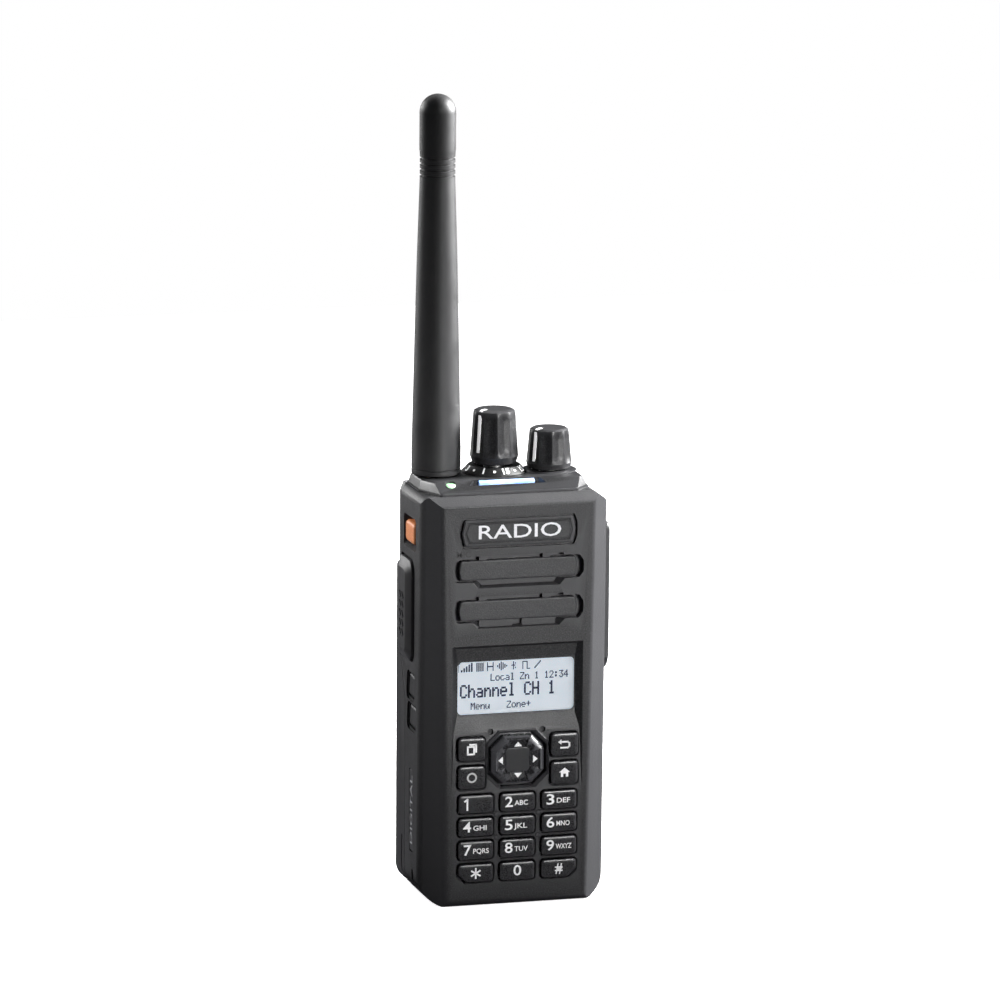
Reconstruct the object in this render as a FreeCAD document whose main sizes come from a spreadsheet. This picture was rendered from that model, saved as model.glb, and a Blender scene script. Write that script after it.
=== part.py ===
"""Handheld two way radio with a full keypad, drawn as a parametric document in millimetres.

The origin is the middle of the base. +Z runs up to the antenna, the front face looks along -Y, and
the talk button is on the -X side. Every sub-part is one labelled object, written to parts/LABEL.step.
"""
import FreeCAD, Part

import os
import re

import Sketcher

Vector = FreeCAD.Vector

SIZES = {
    # the case's outer shape
    "case_half": 28, "case_front": 18, "case_rear": 12, "case_top": 121, "face_top": "=case_top - 2.7",
    "face_half": 21.9, "facet_depth": 5.4, "facet_blend": 4, "back_bevel": 2.2,
    "base_corner": 8, "base_edge": 2.4, "top_slope": 3, "shoulder_left": 1.5, "shoulder_right": 4.8,
    "shoulder_drop": 3.6, "front_wall": 2.2, "side_wall": 2.2, "top_wall": 2, "base_wall": 2.4,
    # the joint between the case and the battery
    "seam_low": 2.6, "seam_high": 8.6, "seam_bend": 58, "seam_rise": 14, "plate_thick": 1.8,
    "seal_thick": 0.6, "seal_width": 1.4, "gap": 0.3, "snug": 0.2, "running": 0.05,
    # the battery pack
    "pack_back": 18, "pack_top": 97.8, "pack_bevel_y": 11.3, "pack_shoulder": 89.5, "pack_wall": 1.7,
    "pack_corner": 5.4, "lug_radius": 1, "lug_y": 12, "lug_near": 14, "lug_far": 18, "lid_thick": 1.4,
         "contact_z": 16, "contact_pitch": 5,
    # the name plate and the speaker slots
    "plate_half": 17.6, "plate_low": 106, "plate_high": 115.1, "plate_recess": 1, "plate_gap": 0.7,
    "slot_half": 19.6, "slot_tall": 6.9, "slot_upper": 99.55, "slot_lower": 87.7, "slit_half": 14,
    "slit_rise": 0.7, "scoop_half": 12.4, "scoop_drop": 1.7, "bar_inset": 2, "bar_gap": 0.55,
    "grille_thick": 0.8, "grille_half": 20.6, "speaker_radius": 16, "speaker_deep": 3,
    "magnet_radius": 9, "magnet_deep": 4.4, "cone_radius": 14.4, "speaker_z": 93.6,
    # the display
    "bezel_half": 19.6, "bezel_high": 77.4, "bezel_low": 51.6, "window_half": 17.5,
    "window_high": 72.4, "window_low": 56.8, "window_thick": 1, "bezel_floor": 15.9, "lcd_thick": 2.4,
    # the keypad
    "column_mid": 0.15, "column_pitch": 12.5, "key_wide": 10.4, "key_tall": 5.3, "key_corner": 0.9,
    "row_low": 10.2, "row_pitch": "=key_tall + 1.55", "key_proud": 0.7, "key_crown": 0.5, "key_cut": 2.4,
    "key_flange": 0.6, "flange_thick": 0.7, "key_travel": 0.6, "key_gap": 0.3, "soft_wide": 8,
    "soft_tall": 6.6, "soft_left": 13.7, "soft_right": 14.15, "soft_high": "=soft_low + 8.35",
    "soft_low": "=row_low + 3 * row_pitch + key_tall / 2 + soft_tall / 2 + 2",
    "nav_half": 8.3, "nav_low": "=row_low + 3 * row_pitch + key_tall / 2 + 2.4",
    "nav_high": "=nav_low + 14.9", "nav_cut": 3.6, "nav_proud": 1.1,
    "nav_dish": 3.4, "nav_dish_deep": 0.9, "nav_tilt_room": 0.5, "pivot_radius": 0.55,
    "mat_thick": 1, "mat_half": 19.5, "board_thick": 1,
    # the left side
    "ptt_low": 71.5, "ptt_high": 100, "ptt_fore": 5.9, "ptt_aft": "=seam_high - 1.9", "ptt_proud": 2.2,
    "ptt_stem_aft": "=seam_high - 3.8",
    "button_low": 105.4, "button_high": 111.3, "button_fore": 6.2, "button_aft": 3,
    "button_sink": -0.1, "side_upper_low": 60.4, "side_upper_high": 66.1, "side_lower_low": 51.6,
    "side_lower_high": 57, "side_fore": 6.6, "side_aft": 0, "side_sink": 0.5, "pocket_rim": 1.6,
    "pocket_deep": 1, "side_travel": 0.7, "ptt_travel": 0.6, "badge_low": 13.9, "badge_high": 39.2,
    "badge_fore": 7, "badge_aft": 2, "badge_deep": 0.4,
    # the right side
    "cap_low": 66.5, "cap_high": 110, "cap_fore": 9.5, "cap_aft": 6, "cap_thick": 2.2,
    "cap_screw_z": 71.5, "cap_screw_radius": 3, "port_low": 84, "port_high": 104, "port_half": 4,
    # the top controls
    "panel_left": 26.4, "panel_right": 23.4, "panel_rise": 3.3, "panel_lip": 0.5, "panel_slope": 5.4,
    "controls_y": "=seam_high - 6.6", "selector_x": -1.9, "volume_x": 14.6, "antenna_x": -19.3,
         "shaft_radius": 3,
    "bush_radius": "=shaft_radius + 0.6", "bush_wall_gap": 0.1, "nut_radius": "=shaft_radius + 2.2",
         "nut_thick": 1.6, "ring_radius": 9.35,
    "ring_top_radius": 7.7, "ring_rise": 1.5, "selector_foot": "=case_top + 5.2",
    "selector_flare": "=selector_foot + 2.1", "selector_neck": "=selector_foot + 14.8",
    "selector_top": "=selector_foot + 17.1", "selector_radius": 7, "selector_foot_radius": 6.2,
    "selector_neck_radius": 5.95, "selector_top_radius": 4.9, "volume_foot": "=case_top + 3.9",
    "volume_flare": "=volume_foot + 1.7", "volume_neck": "=volume_foot + 10.3",
    "volume_top": "=volume_foot + 12.3", "volume_radius": 6.6,
    "volume_foot_radius": 6.0, "volume_neck_radius": 5.75, "volume_top_radius": 4.8,
    "scallop_radius": 2.1, "scallop_bite": 0.35, "knob_roof": 3.2, "control_box": 8,
    "selector_box_low": "=case_top - 17",
    "volume_box_low": "=case_top - 14", "led_radius": 1.5, "led_x": -18.4,
    "lamp_y": -10.7, "bar_y": -10.3, "bar_left": -9.7, "bar_right": 6.7, "bar_deep": 1.1,
    # the antenna
    "whip_foot": "=case_top + 3.7", "whip_radius": 7.1, "whip_groove_z": "=whip_foot + 1.65",
    "whip_mid_z": "=whip_foot + 38.8",
    "whip_mid_radius": 6.4, "whip_high_z": "=whip_foot + 62.3", "whip_high_radius": 5.85,
         "whip_rib_z": "=whip_foot + 86.7",
    "whip_rib_radius": 5.08, "whip_rib_pitch": 1.65, "whip_rib_deep": 0.4, "whip_tip_radius": 5.25,
    "whip_tip_z": "=whip_foot + 110.2", "plug_radius": 2.6, "socket_radius": 4.1,
         "socket_foot": "=case_top - 3.4",
    # screws, latch and inner boards
    "boss_x": 22.5, "boss_low": 6.6, "boss_high": "=case_top - 5.8", "boss_radius": 2, "screw_radius": 1,
    "head_radius": 1.8, "head_tall": 1.1, "clip_pitch": 20, "clip_z": 110, "clip_hole_radius": 1.5,
    "latch_half": 7, "latch_tall": 2.2, "latch_deep": 4.6, "latch_travel": 1, "catch_half": 2.6,
    "catch_travel": 4, "board_half": 18, "board_y": 2.4, "side_board_x": 23.9, "side_board_thick": 0.8,
    "mic_x": "=3.523 - 0.57 * face_half - 0.43 * case_half", "mic_z": 101, "mic_radius": 1.9,
}

doc = FreeCAD.newDocument("TwoWayRadio")
sheet = doc.addObject("Spreadsheet::Sheet", "Sizes")
for row, (size_name, size) in enumerate(SIZES.items(), start=1):
    sheet.set(f"A{row}", size_name.replace("_", " "))
    sheet.set(f"B{row}", str(size))
    sheet.setAlias(f"B{row}", size_name)
doc.recompute()

NODES = {}


def spell(text):
    """Writes an expression such as 'case_half - side_wall' with the sheet's cells in it."""
    return re.sub(r"[a-z]\w*", lambda word: f"Sizes.{word[0]}" if word[0] in SIZES else word[0], str(text))


def value(text):
    """The number that an expression comes to now."""
    return float(sheet.evalExpression(spell(text)))


def bind(item, **links):
    """Ties each property to its expression; x, y and z stand for the placement."""
    for prop, text in links.items():
        path = f"Placement.Base.{prop}" if prop in ("x", "y", "z") else prop
        item.setExpression(path, spell(text))


def node(name, item):
    """Gives a sub-part its label, which is also its file's name."""
    item.Label = name
    NODES[name] = item
    return item


# ---- drawing helpers -------------------------------------------------------------------------

def rect(low_u, high_u, low_v, high_v):
    """A rectangle's four corners."""
    return [(low_u, low_v), (high_u, low_v), (high_u, high_v), (low_u, high_v)]


def both_sides(right_half, middle="0"):
    """Mirrors the right half of an outline, listed upward, about the line u = middle."""
    left_half = [(f"2 * ({middle}) - ({u})", v) for u, v in reversed(right_half)]
    return right_half + left_half


def draw(body, name, plane, outline, offset):
    """A closed outline on an origin plane, each corner held by two dimensions from the origin."""
    sketch = body.newObject("Sketcher::SketchObject", name)
    origin = next(item for item in body.Origin.OriginFeatures if item.Role == f"{plane}_Plane")
    sketch.AttachmentSupport = [(origin, "")]
    sketch.MapMode = "FlatFace"
    sketch.setExpression("AttachmentOffset.Base.z", spell(offset))
    corners = [Vector(value(u), value(v), 0) for u, v in outline]
    count = len(corners)
    for index in range(count):
        sketch.addGeometry(Part.LineSegment(corners[index], corners[(index + 1) % count]), False)
    for index in range(count):
        sketch.addConstraint(Sketcher.Constraint("Coincident", index, 2, (index + 1) % count, 1))
    for index, (texts, corner) in enumerate(zip(outline, corners)):
        for kind, text, size in zip(("DistanceX", "DistanceY"), texts, corner):
            held = sketch.addConstraint(Sketcher.Constraint(kind, -1, 1, index, 1, size))
            sketch.setExpression(f"Constraints[{held}]", spell(text))
    return sketch


def along(edge, axis):
    """Whether an edge is straight and runs along an axis."""
    if edge.Curve.TypeId != "Part::GeomLine":
        return False
    return abs(edge.tangentAt(edge.FirstParameter).dot(axis)) > 0.9999


def level(edge, axis, place):
    """Whether an edge lies in the plane across an axis at a place."""
    ends = [point.dot(axis) for point in edge.discretize(5)]
    return max(abs(end - place) for end in ends) < 1e-4


def soften(body, feature, radius, chosen, kind="Fillet"):
    """A fillet or chamfer on the chosen edges of a body's last feature."""
    doc.recompute()
    edges = [f"Edge{n}" for n, edge in enumerate(feature.Shape.Edges, start=1) if chosen(edge)]
    if not edges:
        raise ValueError(f"{body.Name}: no edge to soften")
    soft = body.newObject(f"PartDesign::{kind}", f"{body.Name}_soft")
    soft.Base = (feature, edges)
    soft.setExpression("Radius" if kind == "Fillet" else "Size", spell(radius))
    return soft


NORMALS = {"XY": Vector(0, 0, 1), "XZ": Vector(0, -1, 0), "YZ": Vector(1, 0, 0)}


def prism(name, plane, outline, low, high, corner=None, crown=None, crown_low=False):
    """A padded outline between two places along +Z, +Y or +X.

    corner rounds the edges along the pad. crown rounds the rim of one end: the top of an XY pad, the
    front of an XZ pad and the right of a YZ pad, or the other end with crown_low.
    """
    body = doc.addObject("PartDesign::Body", name)
    offset = f"-({high})" if plane == "XZ" else low
    profile = draw(body, f"{name}_outline", plane, outline, offset)
    last = body.newObject("PartDesign::Pad", f"{name}_pad")
    last.Profile = profile
    bind(last, Length=f"({high}) - ({low})")
    normal = NORMALS[plane]
    if corner:
        last = soften(body, last, corner, lambda edge: along(edge, normal))
    if crown:
        far = -value(low) if plane == "XZ" else value(high)
        near = -value(high) if plane == "XZ" else value(low)
        place = near if crown_low else far
        last = soften(body, last, crown, lambda edge: level(edge, normal, place))
    return body


def turned(name, x, y, profile):
    """A body of revolution about the vertical through x, y, from a profile of (radius, height)."""
    body = doc.addObject("PartDesign::Body", name)
    outline = draw(body, f"{name}_profile", "XZ", profile, "0")
    spin = body.newObject("PartDesign::Revolution", f"{name}_turn")
    spin.Profile = outline
    spin.ReferenceAxis = (outline, ["V_Axis"])
    spin.Angle = 360
    bind(body, x=x, y=y)
    return body


def block(name, x, y, z):
    """A box between (low, high) pairs."""
    item = doc.addObject("Part::Box", name)
    bind(item, x=x[0], y=y[0], z=z[0])
    for prop, (low, high) in zip(("Length", "Width", "Height"), (x, y, z)):
        item.setExpression(prop, spell(f"({high}) - ({low})"))
    return item


TURNS = {"X": (Vector(0, 1, 0), 90), "Y": (Vector(1, 0, 0), -90), "Z": (Vector(0, 0, 1), 0)}


def rod(name, axis, radius, at, low, high):
    """A cylinder along an axis between low and high; at gives its other two coordinates in order."""
    item = doc.addObject("Part::Cylinder", name)
    item.Placement = FreeCAD.Placement(Vector(), FreeCAD.Rotation(*TURNS[axis]))
    across = [letter for letter in "XYZ" if letter != axis]
    places = {axis.lower(): low, across[0].lower(): at[0], across[1].lower(): at[1]}
    bind(item, Radius=radius, Height=f"({high}) - ({low})", **places)
    return item


def join(name, *items):
    """Several solids made one."""
    item = doc.addObject("Part::MultiFuse", name)
    item.Shapes = list(items)
    return item


def shared(name, *items):
    """What several solids have in common."""
    item = doc.addObject("Part::MultiCommon", name)
    item.Shapes = list(items)
    return item


def carve(name, base, *tools):
    """A solid with tools taken out of it."""
    item = doc.addObject("Part::Cut", name)
    item.Base = base
    item.Tool = tools[0] if len(tools) == 1 else join(f"{name}_tools", *tools)
    return item


def polygon_rod(name, sides, radius, at, low, high):
    """An upright hexagon or other regular bar."""
    item = doc.addObject("Part::Prism", name)
    item.Polygon = sides
    bind(item, Circumradius=radius, Height=f"({high}) - ({low})", x=at[0], y=at[1], z=low)
    return item


# ---- places that several pieces share --------------------------------------------------------

FACE = "-case_front"
FACE_INNER = "front_wall - case_front"
SIDE_INNER = "case_half - side_wall"
KEY_BACK = f"({FACE_INNER}) + snug + flange_thick"
MAT_FRONT = f"({KEY_BACK}) + key_travel + snug"
MAT_BACK = f"({MAT_FRONT}) + mat_thick"
BOARD_BACK = f"({MAT_BACK}) + board_thick"
SHELF = "pack_top + gap"
PANEL_TOP = "case_top + panel_rise"
CHAMBER_TOP = "case_top - top_wall"
SOFT_KEYS = {
    "key_menu": ("-soft_left", "soft_high"), "key_circle": ("-soft_left", "soft_low"),
    "key_back": ("soft_right", "soft_high"), "key_home": ("soft_right", "soft_low"),
}
DIGIT_ROWS = [["key_1", "key_2", "key_3"], ["key_4", "key_5", "key_6"], ["key_7", "key_8", "key_9"],
              ["key_star", "key_0", "key_hash"]]


# ---- the outer shape -------------------------------------------------------------------------

def case_blank():
    """The case's solid envelope: a plan with a faceted front, cut to its front and side outlines."""
    plan = both_sides([("face_half", FACE), ("case_half", "facet_depth - case_front"),
                       ("case_half", "case_rear - back_bevel"), ("case_half - back_bevel", "case_rear")])
    plan_shape = prism("plan_silhouette", "XY", plan, "0", "case_top")

    def facet_edge(edge):
        spot = edge.Vertexes[0].Point
        return along(edge, Vector(0, 0, 1)) and spot.y < 0 and abs(spot.x) > value("case_half") - 0.01

    soften(plan_shape, plan_shape.Tip, "facet_blend", facet_edge)
    front_outline = [("-case_half", "0"), ("case_half", "0"), ("case_half", "case_top - shoulder_drop"),
                     ("case_half - shoulder_right", "case_top"), ("shoulder_left - case_half", "case_top"),
                     ("-case_half", "case_top - 1.6 * shoulder_left")]
    front_shape = prism("front_silhouette", "XZ", front_outline, "-case_front - 1", "pack_back + 1")

    def base_corner(edge):
        ends = [vertex.Point for vertex in edge.Vertexes]
        return along(edge, Vector(0, 1, 0)) and abs(ends[0].z) < 0.01

    soften(front_shape, front_shape.Tip, "base_corner", base_corner)
    side_outline = [(FACE, "0"), ("case_rear", "0"), ("case_rear", "case_top"),
                    ("top_slope - case_front", "case_top"), (FACE, "face_top")]
    side_shape = prism("side_silhouette", "YZ", side_outline, "-case_half - 1", "case_half + 1")

    def front_base_edge(edge):
        ends = [vertex.Point for vertex in edge.Vertexes]
        return along(edge, Vector(1, 0, 0)) and abs(ends[0].z) < 0.01 and ends[0].y < 0

    soften(side_shape, side_shape.Tip, "base_edge", front_base_edge)
    return shared("case_blank", plan_shape, front_shape, side_shape)


# ---- openings through the case ---------------------------------------------------------------

def key_outline(mid, centre_z, wide, tall, grow="0", cut_side=0):
    """A key's front outline grown by a clearance; cut_side -1 or +1 takes that lower corner off."""
    half, rise = f"(({wide}) / 2 + {grow})", f"(({tall}) / 2 + {grow})"
    left, right = f"{mid} - {half}", f"{mid} + {half}"
    low, high = f"{centre_z} - {rise}", f"{centre_z} + {rise}"
    corners = [(left, low), (right, low), (right, high), (left, high)]
    if cut_side > 0:
        corners[1:2] = [(f"{right} - key_cut", low), (right, f"{low} + key_cut")]
    if cut_side < 0:
        corners[0:1] = [(left, f"{low} + key_cut"), (f"{left} + key_cut", low)]
    return corners


def keys():
    """Every keypad key as (name, column, row centre, width, height, cut side)."""
    for row_index, row in enumerate(DIGIT_ROWS):
        for column_index, name in enumerate(row):
            mid = f"(column_mid + ({column_index - 1}) * column_pitch)"
            centre = f"(row_low + {len(DIGIT_ROWS) - 1 - row_index} * row_pitch)"
            cut_side = {"key_star": -1, "key_hash": 1}.get(name, 0)
            yield name, mid, centre, "key_wide", "key_tall", cut_side
    for name, (mid, centre) in SOFT_KEYS.items():
        yield name, mid, centre, "soft_wide", "soft_tall", 0


def nav_outline(grow):
    """The octagon of the four way key, grown by a clearance."""
    half, low, high = f"(nav_half + {grow})", f"nav_low - {grow}", f"nav_high + {grow}"
    right = [(f"column_mid + {half} - nav_cut", low), (f"column_mid + {half}", f"{low} + nav_cut"),
             (f"column_mid + {half}", f"{high} - nav_cut"), (f"column_mid + {half} - nav_cut", high)]
    return both_sides(right, "column_mid")


def through_front(name, outline, corner=None):
    """A cutter right through the front wall."""
    return prism(name, "XZ", outline, f"{FACE} - 1", f"({FACE_INNER}) + 0.01", corner)


def slot_cutters():
    """Each speaker slot with its slit above and its scoop below."""
    cutters = []
    for name, mid in (("upper", "slot_upper"), ("lower", "slot_lower")):
        low, high = f"({mid} - slot_tall / 2)", f"({mid} + slot_tall / 2)"
        cutters.append(through_front(f"slot_{name}", rect("-slot_half", "slot_half", low, high),
                                     "slot_tall / 6"))
        relief = both_sides([("scoop_half", f"{low} - scoop_drop"), ("slit_half", f"{low} + 1"),
                             ("slit_half - 1", f"{high} + slit_rise")])
        cutters.append(through_front(f"relief_{name}", relief))
    return cutters


def front_cutters():
    """Everything that opens the front wall."""
    cutters = slot_cutters()
    recess = rect("-plate_half", "plate_half", "plate_low", "plate_high")
    cutters.append(prism("plate_recess", "XZ", recess, f"{FACE} - 1", f"{FACE} + plate_recess",
                         "plate_recess"))
    bezel = doc.addObject("Part::Wedge", "bezel")
    floor_half, face_half = "(window_half + 0.8)", "bezel_half"
    bind(bezel, Xmin=f"-{face_half}", Xmax=face_half, Zmin="bezel_low", Zmax="bezel_high",
         Ymin="-case_front - 0.01", Ymax="-bezel_floor", X2min=f"-{floor_half}", X2max=floor_half,
         Z2min="window_low - 0.5", Z2max="window_high + 0.8")
    cutters.append(bezel)
    window = rect("-window_half", "window_half", "window_low", "window_high")
    cutters.append(through_front("window_opening", window, "key_corner"))
    for name, mid, centre, wide, tall, cut_side in keys():
        outline = key_outline(mid, centre, wide, tall, "key_gap", cut_side)
        cutters.append(through_front(f"{name}_opening", outline, "key_corner"))
    cutters.append(through_front("nav_opening", nav_outline("nav_tilt_room")))
    return cutters


LEFT_BUTTONS = {
    "ptt_button": ("ptt_low", "ptt_high", "ptt_fore", "ptt_aft", "-ptt_proud", "ptt_travel"),
    "side_button": ("button_low", "button_high", "button_fore", "button_aft", "button_sink", "side_travel"),
    "side_key_upper": ("side_upper_low", "side_upper_high", "side_fore", "side_aft", "side_sink",
                       "side_travel"),
    "side_key_lower": ("side_lower_low", "side_lower_high", "side_fore + 1.6", "side_aft - 0.7", "side_sink",
                       "side_travel"),
}


def left_cutters():
    """A sunk pocket and an opening for each left side button, and the slim badge recess."""
    cutters = []
    for name, (low, high, fore, aft, _sink, _travel) in LEFT_BUTTONS.items():
        rim = "0.9" if name == "side_button" else "pocket_rim"
        pocket = rect(f"-({fore}) - {rim}", f"({aft}) + {rim} / 2", f"{low} - {rim}", f"{high} + {rim}")
        cutters.append(prism(f"{name}_pocket", "YZ", pocket, "-case_half - 1", "pocket_deep - case_half",
                             rim))
        stem_aft = "ptt_stem_aft" if name == "ptt_button" else aft
        opening = rect(f"-({fore}) - gap", f"({stem_aft}) + gap", f"{low} - gap", f"{high} + gap")
        cutters.append(prism(f"{name}_opening", "YZ", opening, "-case_half - 1", f"0.01 - ({SIDE_INNER})",
                             "gap + 0.6"))
    badge = rect("-badge_fore", "-badge_aft", "badge_low", "badge_high")
    cutters.append(prism("badge_recess", "YZ", badge, "-case_half - 1", "badge_deep - case_half",
                         "badge_deep"))
    return cutters


def other_cutters():
    """Holes in the top wall, the accessory port, and the latch and catch slots in the base."""
    through = ("case_top - top_wall - 0.01", "case_top + 1")
    bush_hole = "bush_radius + bush_wall_gap"
    cutters = [
        rod("selector_hole", "Z", bush_hole, ("selector_x", "controls_y"), *through),
        rod("volume_hole", "Z", bush_hole, ("volume_x", "controls_y"), *through),
        rod("antenna_hole", "Z", "socket_radius + snug", ("antenna_x", "controls_y"), *through),
        block("port_opening", (f"{SIDE_INNER} - 0.01", "case_half + 1"), ("-port_half", "port_half"),
              ("port_low", "port_high")),
        rod("cap_screw_hole", "X", "screw_radius + running", ("0 - cap_fore / 4", "cap_screw_z"),
            f"{SIDE_INNER} - 0.01", "case_half + 1"),
        block("latch_slot", ("-latch_half - gap", "latch_half + gap"),
              ("seam_low - latch_deep - latch_travel - gap", "case_rear"),
              ("-1", "latch_tall + 2 * gap + 0.4")),
        block("catch_slot", ("-catch_half - gap", "catch_half + catch_travel + gap"),
              ("-latch_deep - latch_travel - 3.4", "-latch_deep - latch_travel + gap"), ("-1", "1.9")),
    ]
    return cutters


def chamber():
    """The room inside the case, open at the back, with the facets' thickness kept at the corners."""
    plan = both_sides([("face_half - 0.4 * side_wall", FACE_INNER),
                       (SIDE_INNER, "facet_depth - case_front + 0.46 * side_wall"),
                       (SIDE_INNER, "case_rear + 1")])
    room = prism("chamber", "XY", plan, "base_wall", CHAMBER_TOP)
    behind = [("seam_low", "-1"), ("pack_back + 1", "-1"), ("pack_back + 1", "case_top + 1"),
              ("seam_high", "case_top + 1"), ("seam_high", "seam_bend + seam_rise"),
              ("seam_low", "seam_bend")]
    back = prism("behind_seam", "YZ", behind, "-case_half - 1", "case_half + 1")
    return room, back


def front_case(blank):
    """The front shell: walls, openings and four screw bosses."""
    room, back = chamber()
    shell = carve("front_shell", blank, room, back)
    bosses = [rod(f"boss_{side}_{place}", "Y", "boss_radius", (f"{sign} * boss_x", f"boss_{place}"),
                  f"{FACE_INNER} + boss_radius / 2", back_y)
              for side, sign in (("left", "-1"), ("right", "1"))
              for place, back_y in (("low", "seam_low - plate_thick - seal_thick"),
                                    ("high", "seam_high - plate_thick - seal_thick"))]
    bores = [rod(f"bore_{side}_{place}", "Y", "screw_radius + running",
                 (f"{sign} * boss_x", f"boss_{place}"), "-9", "case_rear")
             for side, sign in (("left", "-1"), ("right", "1")) for place in ("low", "high")]
    solid = join("front_walls", shell, *bosses)
    cutters = front_cutters() + left_cutters() + other_cutters() + bores
    return node("front_case", carve("front_case", solid, *cutters))


def chassis_band(name, front_gap, thick, half, low, high):
    """A bent plate that follows the seam's line inside the case."""
    fore = f"seam_low - {front_gap} - {thick}"
    shift = "seam_high - seam_low"
    outline = [(fore, low), (f"{fore} + {thick}", low), (f"{fore} + {thick}", "seam_bend"),
               (f"{fore} + {thick} + {shift}", "seam_bend + seam_rise"),
               (f"{fore} + {thick} + {shift}", high),
               (f"{fore} + {shift}", high), (f"{fore} + {shift}", "seam_bend + seam_rise"),
               (fore, "seam_bend")]
    return prism(name, "YZ", outline, f"-({half})", half)


def rear_chassis(blank):
    """The cast chassis: a bent plate behind the boards and the bare back above the battery."""
    plate = chassis_band("chassis_plate", "0", "plate_thick", f"{SIDE_INNER} - snug",
                         "base_wall + snug", f"{CHAMBER_TOP} - snug")
    window = block("chassis_window", ("-case_half - 1", "case_half + 1"), ("seam_high", "case_rear + 1"),
                   (SHELF, "case_top + 1"))
    back = shared("chassis_back", blank, window)
    holes = []
    for side, sign in (("left", "-1"), ("right", "1")):
        for place, face in (("low", "seam_low"), ("high", "case_rear")):
            at = (f"{sign} * boss_x", f"boss_{place}")
            holes.append(rod(f"chassis_hole_{side}_{place}", "Y", "screw_radius + running", at, "0",
                             "case_rear + 1"))
            holes.append(rod(f"chassis_sink_{side}_{place}", "Y", "head_radius + running", at,
                             f"{face} - head_tall - 0.1", f"{face} + 1"))
        holes.append(rod(f"clip_hole_{side}", "Y", "clip_hole_radius",
                         (f"{sign} * clip_pitch / 2", "clip_z"),
                         "seam_high - plate_thick - 1", "case_rear + 1"))
    holes += hinge_lugs("lug_notch", "gap")
    return node("rear_chassis", carve("rear_chassis", join("chassis_cast", plate, back), *holes))


def chassis_screws():
    """Four screws through the chassis into the case's bosses."""
    screws = []
    for side, sign in (("left", "-1"), ("right", "1")):
        for place, face in (("low", "seam_low"), ("high", "case_rear")):
            at = (f"{sign} * boss_x", f"boss_{place}")
            head = rod(f"screw_head_{side}_{place}", "Y", "head_radius", at, f"{face} - head_tall - 0.1",
                       f"{face} - 0.1")
            shank = rod(f"screw_shank_{side}_{place}", "Y", "screw_radius", at, "-8", f"{face} - head_tall")
            drive = driver_recess(f"screw_drive_{side}_{place}", at, f"{face} - 0.7", f"{face} + 1")
            screws.append(carve(f"screw_{side}_{place}", join(f"screw_{side}_{place}_body", head, shank),
                                drive))
    group = doc.addObject("Part::Compound", "chassis_screws")
    group.Links = screws
    return node("chassis_screws", group)


def driver_recess(name, at, low, high):
    """The round recess for a driver in a screw's head."""
    return rod(name, "Y", "head_radius / 2.4", at, low, high)


def case_seal():
    """The rubber gasket between the case and the chassis."""
    band = chassis_band("seal_band", "plate_thick", "seal_thick", f"{SIDE_INNER} - snug",
                        "base_wall + snug", f"{CHAMBER_TOP} - snug")
    hollow = block("seal_hollow", ("seal_width - case_half + side_wall",
                                   "case_half - side_wall - seal_width"),
                   (FACE, "case_rear"), ("base_wall + snug + seal_width", f"{CHAMBER_TOP} - seal_width"))
    pads = [rod(f"seal_eye_{side}_{place}", "Y", "screw_radius + 2 * running",
                (f"{sign} * boss_x", f"boss_{place}"), FACE, "case_rear")
            for side, sign in (("left", "-1"), ("right", "1")) for place in ("low", "high")]
    return node("case_seal", carve("case_seal", band, hollow, *pads))


# ---- behind the front face -------------------------------------------------------------------

def name_plate():
    """The blank badge in its recess."""
    outline = rect("plate_gap - plate_half", "plate_half - plate_gap", "plate_low + plate_gap",
                   "plate_high - plate_gap")
    plate = prism("name_plate", "XZ", outline, f"{FACE} - snug", f"{FACE} + plate_recess", "plate_gap",
                  "snug")
    return node("name_plate", plate)


def speaker_grille():
    """The plate behind the slots with a bar standing in each slot."""
    bars = []
    slits = []
    for name, mid in (("upper", "slot_upper"), ("lower", "slot_lower")):
        half = "slot_half - bar_inset"
        low, high = f"{mid} - slot_tall / 2 + bar_gap", f"{mid} + slot_tall / 2 - bar_gap"
        bars.append(prism(f"bar_{name}", "XZ", rect(f"-({half})", half, low, high), f"{FACE} + snug / 2",
                          f"{FACE_INNER} + 0.2", "bar_gap * 2", "snug"))
        slits.append(block(f"slit_{name}_above", ("2 - slit_half", "slit_half - 2"), (FACE, "0"),
                           (high, f"{mid} + slot_tall / 2 + slit_rise")))
        slits.append(block(f"slit_{name}_below", ("-scoop_half", "scoop_half"), (FACE, "0"),
                           (f"{mid} - slot_tall / 2 - scoop_drop", low)))
    plate = block("grille_plate", ("-grille_half", "grille_half"),
                  (FACE_INNER, f"{FACE_INNER} + grille_thick"),
                  ("slot_lower - slot_tall / 2 - scoop_drop - 1",
                   "slot_upper + slot_tall / 2 + slit_rise + 1"))
    return node("speaker_grille", carve("speaker_grille", join("grille_solid", plate, *bars), *slits))


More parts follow.
